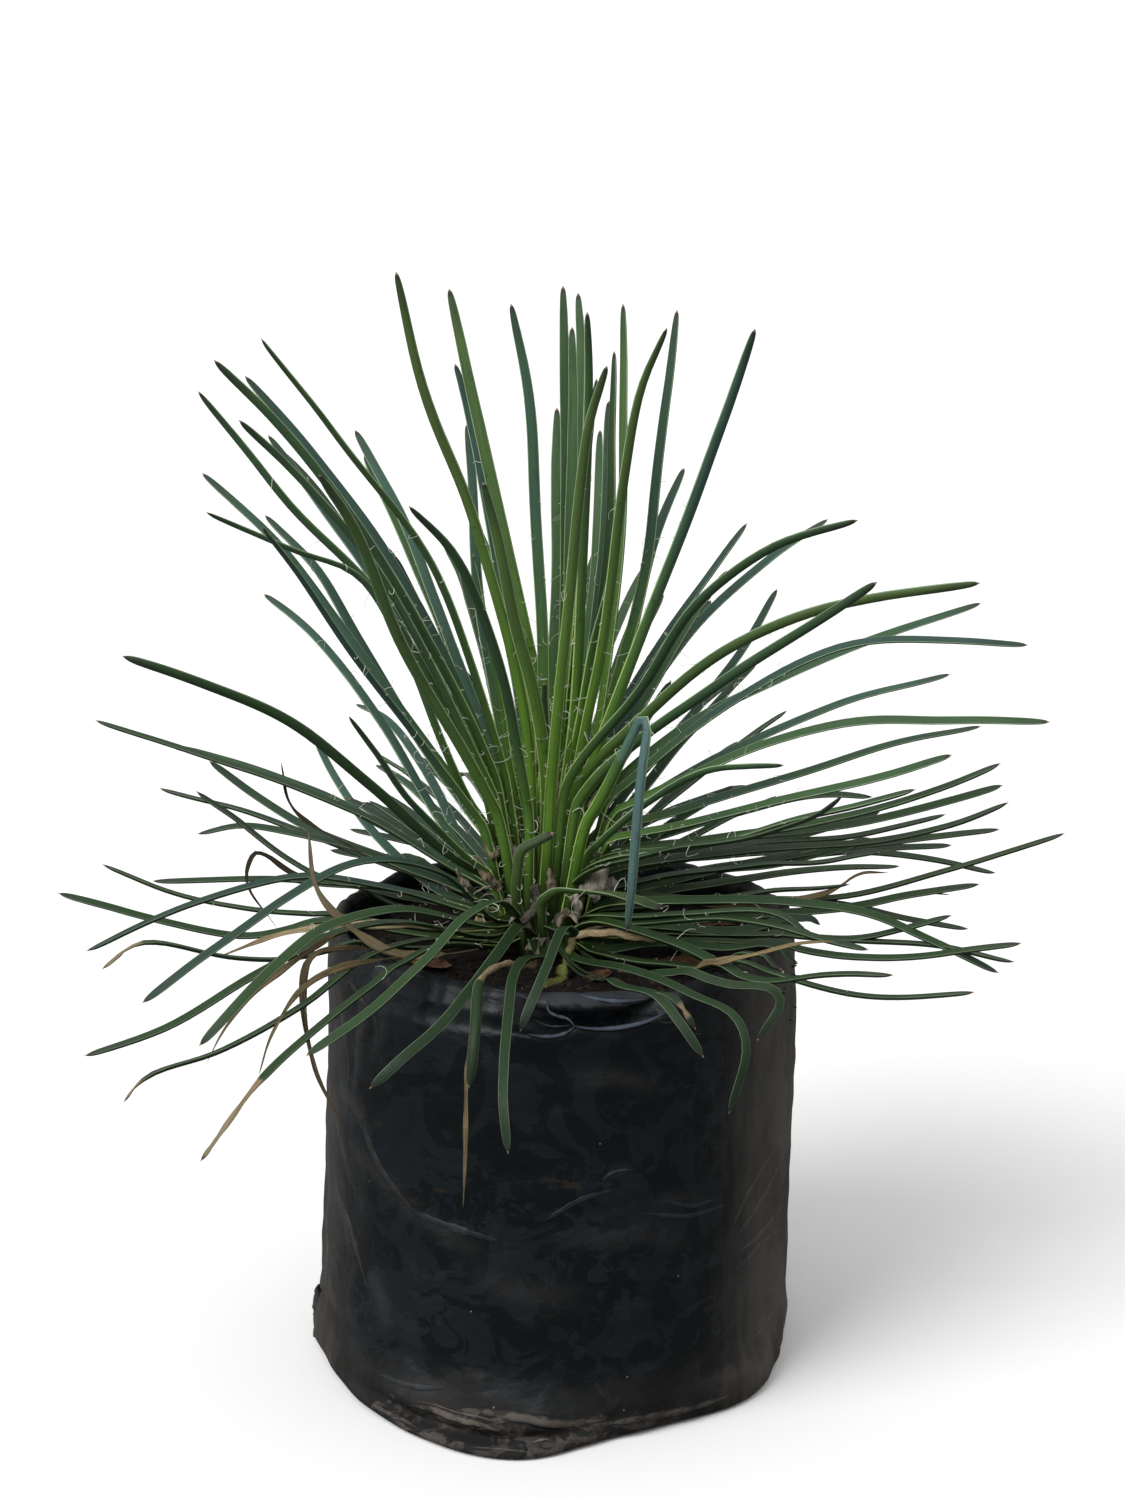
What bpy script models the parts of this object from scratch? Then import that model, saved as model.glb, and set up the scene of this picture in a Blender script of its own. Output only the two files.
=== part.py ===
"""A narrow-leaved thread agave standing in a black film grow bag.

Metres, +Z up, origin in the middle of the bag's flat underside.  The front of the plant faces -Y.
"""
import math
import random

import bmesh
import bpy
import numpy as np
from mathutils import Matrix

# Driving sizes of the grow bag
BAG_HEIGHT = 0.215
BAG_MOUTH_RADIUS = 0.1113
BAG_MIDDLE_RADIUS = 0.1130
BAG_FOOT_RADIUS = 0.1150
BAG_FLAT_RADIUS = 0.1040
BAG_LEAN = 0.0057
BAG_FOOT_FILLET = 0.0025
WALL_WAVE = 0.0012
WAVES_ROUND = 3
WAVE_RISE = 9.0
FOOT_FOLD_HEIGHT = 0.035
FOOT_FOLD_FALL = 1.5
FOOT_FOLD_START = 4
FILM = 0.0009
ROUND_STEPS = 48

# The heights of the wall's rings, as shares of the bag's height
WALL_RINGS = (0.93, 0.80, 0.64, 0.48, 0.32, 0.20, 0.12, 0.065, 0.030)

# Folds that stick out at the foot: compass angle, half spread in degrees, and how far out
FOOT_FOLDS = (
    (-100, 20, 0.0150),
    (-136, 14, 0.0050),
    (-38, 15, 0.0070),
    (178, 12, 0.0040),
    (70, 18, 0.0070),
    (135, 15, 0.0050),
    (15, 14, 0.0030),
)

# Driving sizes of the soil
SOIL_LEVEL = 0.2000
SOIL_LUMP = 0.0016
SOIL_DIP = 0.0030
SOIL_DIP_FROM = 0.060
SOIL_DIP_RUN = 0.050
CROWN_FLAT = 0.0300
CROWN_FLAT_EDGE = 0.020
FIT_GAP = 0.0003
STEM_RADIUS = 0.0180
STEM_DEPTH = 0.0400
STEM_STEPS = 24

# The waves that the soil's lumps are the sum of: along x, along y, start and share
SOIL_WAVES = (
    (96.0, 88.0, 1.0, 0.38),
    (96.0, -88.0, 1.0, 0.38),
    (120.0, -104.0, 0.0, 0.45),
)

# The rings of the soil's top, as shares of its radius, and of its side, as shares of the bag's height
SOIL_TOP_RINGS = (0.10, 0.20, 0.32, 0.45, 0.58, 0.72, 0.86, 1.0)
SOIL_SIDE_RINGS = WALL_RINGS[1:]

# Fallen leaves on the soil: place, length, width and bearing of each
FALLEN_LEAVES = (
    (0.065, -0.028, 0.030, 0.015, 20),
    (-0.058, -0.030, 0.027, 0.012, 150),
    (0.023, -0.049, 0.018, 0.010, 65),
    (0.034, 0.062, 0.028, 0.013, -35),
    (-0.046, 0.056, 0.024, 0.012, 100),
    (0.080, 0.026, 0.020, 0.011, 5),
)
FALLEN_THICKNESS = 0.0007
FALLEN_CURL = 0.0011
FALLEN_GAP = 0.0004
FALLEN_POINT = 0.22

# Driving sizes of the plant
CROWN = (-0.004, 0.0, 0.2070)
ROOT_RADIUS = 0.0225
ROOT_RISE = 0.0300
ROOT_TUCK = 0.75
ROOT_SINK = 0.010
LEAF_CLEARANCE = 0.0050
LEAF_KEEL = 0.32
LEAF_TAPER = 0.30
ROOT_WIDTH_SHARE = 0.50
FULL_WIDTH_SHARE = 0.16
TIP_SHARE = 0.90
LEAF_SAG = 0.0028
CURVE_STEPS = 13
PATH_STEPS = 25
THINNEST_LEAF = 0.0011
WIDTH_DRAW = (0.94, 1.04)
ROLL_DRAW = (-0.25, 0.25)

# The solid crown and stem under the leaves: radius, and height over the crown's middle
CROWN_PROFILE = (
    (0.0, 0.0340),
    (0.0050, 0.0330),
    (0.0105, 0.0260),
    (0.0165, 0.0140),
    (0.0235, 0.0030),
    (0.0245, -0.0020),
    (0.0225, -0.0064),
    (0.0180, -0.0067),
    (0.0162, -0.0390),
    (0.0090, -0.0467),
    (0.0, -0.0467),
)

# Where the photograph was taken from: its leaves are placed by the pixels they are seen at,
# in a frame of 1125 by 1500, and by their real length
PHOTO_FOCAL = 2800.0
PHOTO_MIDDLE = (562.5, 750.0)
VIEWER = np.array([0.0057, -1.272, 0.628])
VIEW_PITCH = math.radians(-14.6)

# Each leaf: how far its tip lies behind the crown in millimetres, or in front of it where negative,
# and the pixels that it passes from the crown to its tip
HEART_LEAVES = (
    (-40, (525, 720), (475, 520), (428, 400), (396, 272)),
    (40, (540, 720), (505, 540), (474, 400), (449, 289)),
    (60, (530, 720), (497, 560), (466, 400), (455, 364)),
    (90, (500, 720), (480, 600), (472, 480), (467, 424)),
    (-50, (545, 760), (515, 620), (495, 530), (483, 482)),
    (30, (545, 750), (539, 560), (528, 390), (511, 304)),
    (60, (560, 750), (566, 500), (563, 286)),
    (80, (565, 750), (580, 500), (582, 365), (578, 293)),
    (-30, (570, 750), (586, 500), (589, 380), (587, 312)),
    (50, (562, 750), (572, 500), (572, 327)),
    (30, (590, 760), (618, 560), (624, 400), (623, 304)),
    (70, (580, 760), (606, 560), (612, 430), (614, 351)),
    (-90, (550, 800), (572, 580), (588, 430), (607, 366)),
    (-60, (575, 780), (610, 590), (637, 400), (667, 328)),
    (50, (600, 740), (645, 570), (666, 400), (677, 310)),
    (100, (552, 760), (557, 560), (557, 408)),
    (110, (560, 760), (574, 560), (577, 400)),
    (100, (570, 760), (594, 580), (600, 430)),
    (90, (575, 760), (604, 560), (609, 401)),
    (110, (590, 760), (630, 640), (657, 530), (684, 468)),
    (-60, (590, 770), (640, 640), (697, 490), (755, 329)),
    (120, (565, 790), (620, 680), (663, 594)),
)
LEFT_FAN = (
    (-50, (490, 720), (430, 560), (340, 440), (261, 338)),
    (120, (480, 720), (420, 560), (388, 490), (355, 430)),
    (130, (475, 720), (415, 560), (364, 455)),
    (-90, (520, 760), (485, 620), (450, 550), (409, 506)),
    (-70, (480, 740), (400, 590), (300, 448), (214, 360)),
    (40, (490, 760), (410, 590), (320, 462), (245, 376)),
    (-60, (480, 780), (385, 605), (290, 505), (198, 391)),
    (-80, (480, 760), (380, 575), (310, 487), (239, 420)),
    (90, (470, 760), (380, 590), (320, 505), (268, 435)),
    (-110, (480, 780), (400, 640), (355, 530), (319, 474)),
    (80, (460, 790), (350, 640), (275, 540), (202, 473)),
    (-80, (470, 800), (400, 640), (357, 573), (290, 548), (206, 512)),
    (100, (460, 800), (360, 645), (315, 567), (265, 515)),
    (-90, (465, 800), (345, 640), (290, 562), (262, 526)),
    (120, (470, 860), (380, 720), (320, 640), (264, 594)),
    (160, (470, 850), (420, 760), (380, 715), (356, 704)),
    (-70, (475, 860), (410, 800), (375, 750), (349, 716)),
    (150, (460, 900), (390, 850), (345, 795), (316, 741)),
)
LEFT_SKIRT = (
    (-60, (450, 855), (370, 785), (290, 722), (200, 682), (122, 656)),
    (60, (450, 865), (370, 818), (280, 780), (180, 748), (95, 720)),
    (120, (450, 880), (350, 845), (280, 812), (209, 761)),
    (110, (450, 885), (350, 850), (260, 815), (159, 788)),
    (60, (430, 915), (340, 890), (290, 860), (240, 822), (196, 791)),
    (90, (440, 880), (360, 850), (300, 834), (240, 826), (197, 834)),
    (120, (480, 880), (440, 850), (395, 838), (349, 829)),
    (150, (470, 870), (420, 826), (362, 802)),
    (-20, (460, 930), (380, 922), (260, 910), (180, 893), (102, 864)),
    (40, (450, 900), (360, 885), (250, 878), (152, 881)),
    (-40, (450, 935), (340, 928), (240, 936), (150, 918), (58, 893)),
    (-60, (490, 915), (400, 889), (300, 876), (200, 899), (86, 951)),
    (-100, (450, 945), (340, 955), (230, 957), (143, 941), (101, 970)),
    (-130, (500, 920), (440, 870), (370, 860), (290, 895), (200, 960), (142, 1003)),
    (-150, (490, 935), (410, 922), (340, 930), (260, 972), (160, 1030), (84, 1056)),
    (-150, (490, 925), (400, 908), (330, 925), (280, 962), (199, 1046)),
    (-150, (510, 940), (430, 939), (370, 955), (300, 1005), (220, 1050), (145, 1077), (123, 1103)),
    (-185, (500, 945), (440, 945), (390, 975), (330, 1017), (258, 1083), (200, 1162)),
    (-150, (500, 900), (470, 912), (420, 965), (370, 1010), (306, 1056)),
)
FRONT_LEAVES = (
    (-170, (522, 924), (500, 950), (450, 1015), (400, 1062), (369, 1089)),
    (-150, (535, 965), (505, 963), (482, 980), (476, 1030), (469, 1088)),
    (-195, (545, 955), (522, 962), (508, 1010), (503, 1090), (508, 1154)),
    (-140, (575, 935), (566, 925), (548, 965), (530, 1005), (520, 1032)),
    (-160, (570, 955), (630, 968), (690, 993), (733, 1013), (746, 1045), (729, 1114)),
    (-150, (580, 975), (620, 992), (655, 995), (680, 1022), (704, 1058)),
    (-140, (590, 975), (640, 990), (672, 997), (696, 1030)),
    (-120, (570, 950), (640, 965), (720, 985), (772, 988), (778, 1005), (757, 1042)),
    (-70, (600, 800), (640, 722), (648, 712), (640, 800), (633, 880), (627, 932)),
    (-60, (560, 890), (610, 893), (663, 909)),
    (-35, (517, 890), (517, 862), (530, 847), (554, 833)),
)
RIGHT_FAN = (
    (60, (575, 790), (630, 690), (690, 600), (747, 523)),
    (-80, (570, 780), (640, 690), (700, 600), (770, 548), (858, 520)),
    (90, (575, 790), (640, 700), (705, 615), (775, 555), (828, 519)),
    (130, (580, 830), (650, 760), (735, 660), (777, 589)),
    (140, (570, 800), (640, 700), (711, 600)),
    (-60, (575, 790), (640, 720), (720, 655), (800, 617), (880, 597), (980, 583)),
    (-90, (580, 800), (640, 740), (720, 683), (800, 633), (877, 582)),
    (60, (590, 810), (680, 730), (780, 678), (880, 637), (981, 603)),
    (20, (590, 820), (650, 765), (725, 705), (800, 662), (872, 640), (1028, 645)),
    (100, (590, 840), (680, 778), (760, 737), (850, 700), (950, 674)),
    (-40, (590, 830), (680, 780), (760, 745), (860, 720), (950, 720), (1050, 722)),
    (70, (590, 840), (680, 810), (800, 773), (900, 742), (981, 726)),
    (-80, (590, 850), (650, 800), (710, 768), (784, 765)),
    (-60, (590, 850), (680, 825), (780, 800), (870, 780), (952, 755)),
    (100, (590, 850), (660, 815), (710, 795), (745, 785)),
)
RIGHT_SKIRT = (
    (-50, (590, 860), (700, 840), (850, 815), (940, 788), (1001, 763)),
    (60, (595, 865), (720, 840), (860, 822), (930, 806), (1003, 785)),
    (-30, (600, 875), (740, 850), (890, 838), (950, 824), (1009, 802)),
    (80, (600, 880), (720, 860), (850, 845), (1000, 829)),
    (-80, (590, 865), (700, 845), (800, 818), (860, 803), (916, 789)),
    (-110, (590, 870), (660, 850), (760, 832), (815, 815), (843, 795)),
    (60, (590, 860), (680, 830), (780, 800), (830, 794), (873, 797)),
    (20, (600, 900), (740, 900), (850, 893), (950, 869), (1065, 833)),
    (90, (600, 870), (720, 855), (840, 850), (920, 857), (996, 873)),
    (110, (600, 880), (730, 862), (860, 850), (952, 845)),
    (110, (600, 870), (740, 845), (870, 832), (946, 814)),
    (-15, (610, 930), (740, 915), (850, 907), (910, 894), (980, 884)),
    (-60, (620, 925), (740, 935), (850, 937), (900, 928), (952, 915)),
    (15, (600, 915), (740, 900), (850, 905), (910, 918), (969, 929)),
    (-90, (600, 935), (700, 940), (790, 955), (900, 957), (1022, 943)),
    (-70, (600, 930), (740, 935), (860, 940), (940, 945), (1015, 962)),
    (-70, (600, 905), (700, 900), (790, 902), (870, 914), (930, 940), (999, 973)),
    (-140, (600, 925), (655, 937), (720, 972), (800, 984), (880, 996), (975, 992)),
    (-135, (590, 920), (680, 945), (750, 980), (820, 973), (894, 975)),
    (-80, (590, 915), (650, 915), (730, 910), (780, 914), (814, 940)),
    (-100, (590, 925), (680, 918), (760, 922), (820, 937), (869, 950)),
)
DRY_LEAVES = (
    (-180, (525, 960), (488, 985), (474, 1075), (466, 1140), (463, 1208)),
    (-45, (470, 950), (405, 955), (350, 928), (317, 890), (308, 830)),
    (-110, (420, 950), (350, 948), (312, 957), (303, 1000), (315, 1065), (343, 1128)),
    (-130, (450, 930), (360, 925), (290, 965), (230, 1020), (204, 1068)),
    (-130, (450, 950), (340, 967), (300, 992), (272, 1035), (259, 1075)),
    (30, (430, 900), (300, 876), (257, 853), (248, 882), (277, 928)),
    (-60, (450, 930), (360, 925), (290, 930), (218, 957)),
    (60, (440, 885), (345, 845), (292, 806), (281, 762)),
    (-105, (600, 985), (690, 975), (740, 960), (790, 945), (838, 941)),
    (10, (610, 900), (720, 905), (830, 892), (860, 874), (891, 873)),
    (-10, (620, 920), (760, 915), (870, 905), (915, 893), (951, 895)),
)


# How early the leaves of each group reach their full depth: evenly at 1, early where they hang
SEEN_GROUPS = (
    (HEART_LEAVES, 0.85, 0.0068),
    (LEFT_FAN, 0.90, 0.0064),
    (LEFT_SKIRT, 1.40, 0.0064),
    (FRONT_LEAVES, 2.20, 0.0062),
    (RIGHT_FAN, 0.90, 0.0064),
    (RIGHT_SKIRT, 1.30, 0.0064),
    (DRY_LEAVES, 1.70, 0.0042),
)

# The leaves that the photograph hides, which follow the turn of a rosette
HIDDEN_LEAVES = 32
HIDDEN_SEED = 11
HIDDEN_WIDTH = 0.0064
HIDDEN_FROM = math.radians(18)
HIDDEN_SPAN = math.radians(144)
HIDDEN_STEEPEST = 68
HIDDEN_FLATTENING = 54
HIDDEN_FALL = 0.8
HIDDEN_SLOPE_DRAW = (-0.07, 0.07)
HIDDEN_LENGTHS = (0.235, 0.285)
HIDDEN_DROOP = 22
HIDDEN_DROOP_GAIN = 26
HIDDEN_DROOP_DRAW = (0.7, 1.3)
HIDDEN_SWAY = (-0.16, 0.16)

# How much of its length each hidden leaf and each heart spear keeps, so that none shows past the others
HIDDEN_KEPT = (
    0.74, 0.76, 1.0, 0.9, 1.0, 0.95, 0.74, 0.66, 0.76, 1.0, 1.0, 1.0, 1.0, 0.92, 1.0, 1.0,
    0.98, 1.0, 0.97, 0.79, 0.68, 0.62, 0.76, 0.80, 0.62, 0.56, 0.62, 0.72, 0.66, 0.77, 1.0, 1.0,
)
SPEAR_KEPT = (1.0, 1.0, 0.89, 1.0, 1.0, 1.0, 0.75)
DROOP_FALL = 1.6
GOLDEN_TURN = math.radians(137.508)

# The short spears that stand in the heart between the others
HEART_SPEARS = 7
SPEAR_STEEPEST = 88
SPEAR_STEP = 1.6
SPEAR_LENGTHS = (0.16, 0.24)
SPEAR_DROOP = math.radians(6)
SPEAR_WIDTH = 0.0060


def new_collection(name):
    """A collection linked into the scene."""
    group = bpy.data.collections.new(name)
    bpy.context.scene.collection.children.link(group)
    return group


def new_material(name, colour, roughness):
    """A plain non-metal material."""
    material = bpy.data.materials.new(name)
    material.use_nodes = True
    shader = material.node_tree.nodes["Principled BSDF"]
    shader.inputs["Base Color"].default_value = (*colour, 1.0)
    shader.inputs["Roughness"].default_value = roughness
    shader.inputs["Metallic"].default_value = 0.0
    material.diffuse_color = (*colour, 1.0)
    return material


def new_object(name, mesh, group, material):
    """An object of a mesh, in its collection, with its material."""
    piece = bpy.data.objects.new(name, mesh)
    group.objects.link(piece)
    piece.data.materials.append(material)
    return piece


def evaluated_mesh(piece):
    """The mesh that an object's modifiers give."""
    graph = bpy.context.evaluated_depsgraph_get()
    return bpy.data.meshes.new_from_object(piece.evaluated_get(graph))


def turned(name, profile, group, material):
    """A profile of radius and height, turned round the upright axis into a mesh object."""
    mesh = bpy.data.meshes.new(name + "_profile")
    edges = [(i, i + 1) for i in range(len(profile) - 1)]
    mesh.from_pydata([(r, 0.0, z) for r, z in profile], edges, [])
    piece = new_object(name, mesh, group, material)
    screw = piece.modifiers.new("turn", "SCREW")
    screw.axis = "Z"
    screw.steps = ROUND_STEPS
    screw.render_steps = ROUND_STEPS
    screw.use_merge_vertices = True
    screw.merge_threshold = 0.00005
    whole = evaluated_mesh(piece)
    piece.modifiers.clear()
    piece.data = whole
    return piece


def sight_line(pixel):
    """Direction from the viewer through a pixel, for one metre of depth along +Y."""
    turn = math.cos(VIEW_PITCH)
    drop = math.sin(VIEW_PITCH)
    forward = np.array([0.0, turn, drop])
    upward = np.array([0.0, -drop, turn])
    across = (pixel[0] - PHOTO_MIDDLE[0]) / PHOTO_FOCAL
    below = (pixel[1] - PHOTO_MIDDLE[1]) / PHOTO_FOCAL
    line = forward - upward * below + np.array([across, 0.0, 0.0])
    return line / line[1]


def seen_at(pixel, depth):
    """The point on a pixel's sight line that lies at a given Y."""
    return VIEWER + sight_line(pixel) * (depth - VIEWER[1])


def pixel_of(point):
    """The pixel at which the photograph shows a point."""
    turn = math.cos(VIEW_PITCH)
    drop = math.sin(VIEW_PITCH)
    offset = np.asarray(point) - VIEWER
    ahead = offset[1] * turn + offset[2] * drop
    above = offset[2] * turn - offset[1] * drop
    across = PHOTO_MIDDLE[0] + PHOTO_FOCAL * offset[0] / ahead
    return (across, PHOTO_MIDDLE[1] - PHOTO_FOCAL * above / ahead)


def smooth_course(knots, count):
    """Evenly spaced points on a smooth curve through the knots."""
    knots = np.asarray(knots, float)
    first = 2 * knots[0] - knots[1]
    last = 2 * knots[-1] - knots[-2]
    row = np.vstack([first, knots, last])
    fine = [knots[0]]
    for a, b, c, d in zip(row[:-3], row[1:-2], row[2:-1], row[3:]):
        ta = 0.0
        tb = ta + np.linalg.norm(b - a) ** 0.5
        tc = tb + np.linalg.norm(c - b) ** 0.5
        td = tc + np.linalg.norm(d - c) ** 0.5
        for t in np.linspace(tb, tc, CURVE_STEPS)[1:]:
            ab = ((tb - t) * a + (t - ta) * b) / (tb - ta)
            bc = ((tc - t) * b + (t - tb) * c) / (tc - tb)
            cd = ((td - t) * c + (t - tc) * d) / (td - tc)
            abc = ((tc - t) * ab + (t - ta) * bc) / (tc - ta)
            bcd = ((td - t) * bc + (t - tb) * cd) / (td - tb)
            fine.append(((tc - t) * abc + (t - tb) * bcd) / (tc - tb))
    return resampled(np.array(fine), np.linspace(0.0, 1.0, count))


def resampled(line, shares):
    """Points at given shares of a line's length."""
    walked = np.concatenate([[0.0], np.cumsum(np.linalg.norm(np.diff(line, axis=0), axis=1))])
    wanted = np.asarray(shares) * walked[-1]
    return np.stack([np.interp(wanted, walked, line[:, i]) for i in range(line.shape[1])], -1)


def floor_under(x, y):
    """The lowest a leaf may run at a place: over the soil, and over the bag's rim."""
    reach = math.hypot(x - BAG_LEAN, y)
    if reach > BAG_FOOT_RADIUS + LEAF_CLEARANCE:
        return 0.0
    rim = np.interp(reach, (BAG_MOUTH_RADIUS * 0.80, BAG_MOUTH_RADIUS * 0.94), (0.0, 1.0))
    return SOIL_LEVEL + (BAG_HEIGHT - SOIL_LEVEL) * rim + LEAF_CLEARANCE


def held_clear(line):
    """The line, raised a little where it would enter the soil or the bag's rim."""
    lift = np.zeros(len(line))
    for i in range(2, len(line)):
        lift[i] = max(0.0, floor_under(line[i, 0], line[i, 1]) - line[i, 2])
    for _ in range(4):
        spread = np.convolve(np.pad(lift, 2, mode="edge"), (0.12, 0.24, 0.28, 0.24, 0.12), "valid")
        lift = np.maximum(lift, spread)
    lift[0] = 0.0
    raised = line.copy()
    raised[:, 2] += lift
    return raised


def crown_root(heading, steepness):
    """Where a leaf leaves the crown: steep leaves sit higher and nearer to the middle."""
    tuck = max(0.0, math.sin(steepness))
    reach = ROOT_RADIUS * (1.0 - ROOT_TUCK * tuck)
    out = np.array([math.cos(heading) * reach, math.sin(heading) * reach, ROOT_RISE * tuck])
    return np.array(CROWN) + out


def seen_leaf(row, fall):
    """The middle line of a leaf that the photograph shows, and its compass heading."""
    reach = row[0] / 1000.0
    root = np.array(CROWN)
    share = 1.0 - (1.0 - np.linspace(0.0, 1.0, PATH_STEPS)) ** fall
    for _ in range(3):
        course = smooth_course([pixel_of(root), *row[1:]], PATH_STEPS)
        depths = root[1] + (reach - root[1]) * share
        line = np.array([seen_at(p, d) for p, d in zip(course, depths)])
        outward = line[PATH_STEPS // 3] - np.array(CROWN)
        heading = math.atan2(outward[1], outward[0])
        steepness = math.atan2(outward[2], math.hypot(outward[0], outward[1]))
        root = crown_root(heading, steepness)
    return held_clear(line), heading


def arched_leaf(heading, steepness, length, droop, sway):
    """The middle line of a leaf that leaves the crown at a slope and arches over."""
    share = np.linspace(0.0, 1.0, PATH_STEPS)
    slope = steepness - droop * share ** DROOP_FALL
    compass = heading + sway * share
    step = length / (PATH_STEPS - 1)
    along = np.stack([np.cos(slope) * np.cos(compass), np.cos(slope) * np.sin(compass), np.sin(slope)], -1)
    root = crown_root(heading, steepness)
    walked = np.vstack([np.zeros(3), np.cumsum(along[:-1] * step, axis=0)])
    return held_clear(root + walked), heading


def bend_points(line, first, last):
    """Indices between two points at which a line leaves its chord by more than LEAF_SAG."""
    if last - first < 2:
        return []
    chord = line[last] - line[first]
    chord = chord / np.linalg.norm(chord)
    off = line[first + 1:last] - line[first]
    away = np.linalg.norm(off - np.outer(off @ chord, chord), axis=1)
    worst = first + 1 + int(np.argmax(away))
    if away.max() < LEAF_SAG:
        return []
    return bend_points(line, first, worst) + [worst] + bend_points(line, worst, last)


def leaf_stations(line):
    """The shares of a leaf's length at which it has a section: more where it bends more."""
    steps = len(line) - 1
    shares = [0.0, FULL_WIDTH_SHARE] + [i / steps for i in bend_points(line, 0, steps)]
    kept = [share for share in sorted(set(shares)) if share < TIP_SHARE - 0.05]
    return np.array(kept + [TIP_SHARE, 1.0])


def leaf_width(share, full):
    """Width along a leaf: widest low down, and nearly even until it runs out to its point."""
    grown = ROOT_WIDTH_SHARE + (1.0 - ROOT_WIDTH_SHARE) * share / FULL_WIDTH_SHARE
    return full * (1.06 - LEAF_TAPER * share) * min(1.0, grown)


def leaf_mesh(name, line, heading, width, roll):
    """A closed leaf: flat above, keeled below, pointed at the tip."""
    shares = leaf_stations(line)
    points = resampled(line, shares)
    along = np.gradient(points, axis=0)
    along /= np.linalg.norm(along, axis=1)[:, None]
    level = np.array([-math.sin(heading), math.cos(heading), 0.0])
    form = bmesh.new()
    rings = []
    for point, ahead, share in zip(points[:-1], along[:-1], shares[:-1]):
        side = level - ahead * np.dot(level, ahead)
        side /= np.linalg.norm(side)
        above = np.cross(ahead, side)
        turned_side = side * math.cos(roll) + above * math.sin(roll)
        turned_above = above * math.cos(roll) - side * math.sin(roll)
        half = leaf_width(share, width) / 2
        keel = max(THINNEST_LEAF, half * 2 * LEAF_KEEL)
        corners = (point + turned_side * half, point - turned_above * keel, point - turned_side * half)
        rings.append([form.verts.new(corner) for corner in corners])
    tip = form.verts.new(points[-1])
    form.faces.new(rings[0])
    for lower, upper in zip(rings[:-1], rings[1:]):
        for i in range(3):
            j = (i + 1) % 3
            form.faces.new((lower[i], lower[j], upper[j], upper[i]))
    for i in range(3):
        form.faces.new((rings[-1][i], rings[-1][(i + 1) % 3], tip))
    bmesh.ops.triangulate(form, faces=form.faces[:])
    bmesh.ops.recalc_face_normals(form, faces=form.faces[:])
    mesh = bpy.data.meshes.new(name)
    form.to_mesh(mesh)
    form.free()
    return mesh


def all_leaves():
    """Middle line, heading, width and roll of every leaf."""
    draw = random.Random(HIDDEN_SEED)
    for group, fall, width in SEEN_GROUPS:
        for row in group:
            line, heading = seen_leaf(row, fall)
            yield line, heading, width * draw.uniform(*WIDTH_DRAW), draw.uniform(*ROLL_DRAW)
    for k in range(HIDDEN_LEAVES):
        share = (k + 0.5) / HIDDEN_LEAVES
        heading = HIDDEN_FROM + k * GOLDEN_TURN % HIDDEN_SPAN
        steepness = math.radians(HIDDEN_STEEPEST - HIDDEN_FLATTENING * share ** HIDDEN_FALL)
        steepness += draw.uniform(*HIDDEN_SLOPE_DRAW)
        length = draw.uniform(*HIDDEN_LENGTHS)
        droop = math.radians(HIDDEN_DROOP + HIDDEN_DROOP_GAIN * share) * draw.uniform(*HIDDEN_DROOP_DRAW)
        line, heading = arched_leaf(heading, steepness, length, droop, draw.uniform(*HIDDEN_SWAY))
        line = resampled(line, np.linspace(0.0, HIDDEN_KEPT[k], PATH_STEPS))
        yield line, heading, HIDDEN_WIDTH * draw.uniform(*WIDTH_DRAW), draw.uniform(*ROLL_DRAW)
    for k in range(HEART_SPEARS):
        heading = k * GOLDEN_TURN
        steepness = math.radians(SPEAR_STEEPEST - SPEAR_STEP * k)
        length = draw.uniform(*SPEAR_LENGTHS)
        line, heading = arched_leaf(heading, steepness, length, SPEAR_DROOP, 0.0)
        line = resampled(line, np.linspace(0.0, SPEAR_KEPT[k], PATH_STEPS))
        yield line, heading, SPEAR_WIDTH, 0.0


def bag_bend(x, y, z):
    """Where a point of the turned bag lies on the real one: leaning, with its corners folded out."""
    angle = math.atan2(y, x)
    reach = math.hypot(x, y)
    share = min(1.0, reach / BAG_FLAT_RADIUS)
    low = max(0.0, 1.0 - z / FOOT_FOLD_HEIGHT) ** FOOT_FOLD_FALL
    out = 0.0
    for compass, spread, fold in FOOT_FOLDS:
        off = (angle - math.radians(compass) + math.pi) % (2 * math.pi) - math.pi
        out += fold * math.exp(-((off / math.radians(spread)) ** 2))
    swing = math.sin(WAVES_ROUND * angle + WAVE_RISE * z)
    wave = WALL_WAVE * swing * math.sin(math.pi * min(1.0, z / BAG_HEIGHT))
    reach += (out * low + wave) * share ** FOOT_FOLD_START
    lean = BAG_LEAN * z / BAG_HEIGHT
    return (reach * math.cos(angle) + lean, reach * math.sin(angle), z)


def soil_height(x, y):
    """The lie of the soil: a low mound round the crown, lumpy, and lower along the film."""
    reach = math.hypot(x - BAG_LEAN, y)
    ease = min(1.0, max(0.0, (reach - CROWN_FLAT) / CROWN_FLAT_EDGE))
    lumps = sum(share * math.sin(a * x + b * y + start) for a, b, start, share in SOIL_WAVES)
    dip = SOIL_DIP * min(1.0, max(0.0, (reach - SOIL_DIP_FROM) / SOIL_DIP_RUN)) ** 2
    return SOIL_LEVEL + ease * (SOIL_LUMP * lumps - dip)


def wall_radius(share):
    """The bag's radius at a share of its height."""
    widths = (BAG_FOOT_RADIUS, BAG_MIDDLE_RADIUS, BAG_MOUTH_RADIUS)
    return float(np.interp(share, (0.0, 0.5, 1.0), widths))


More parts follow.
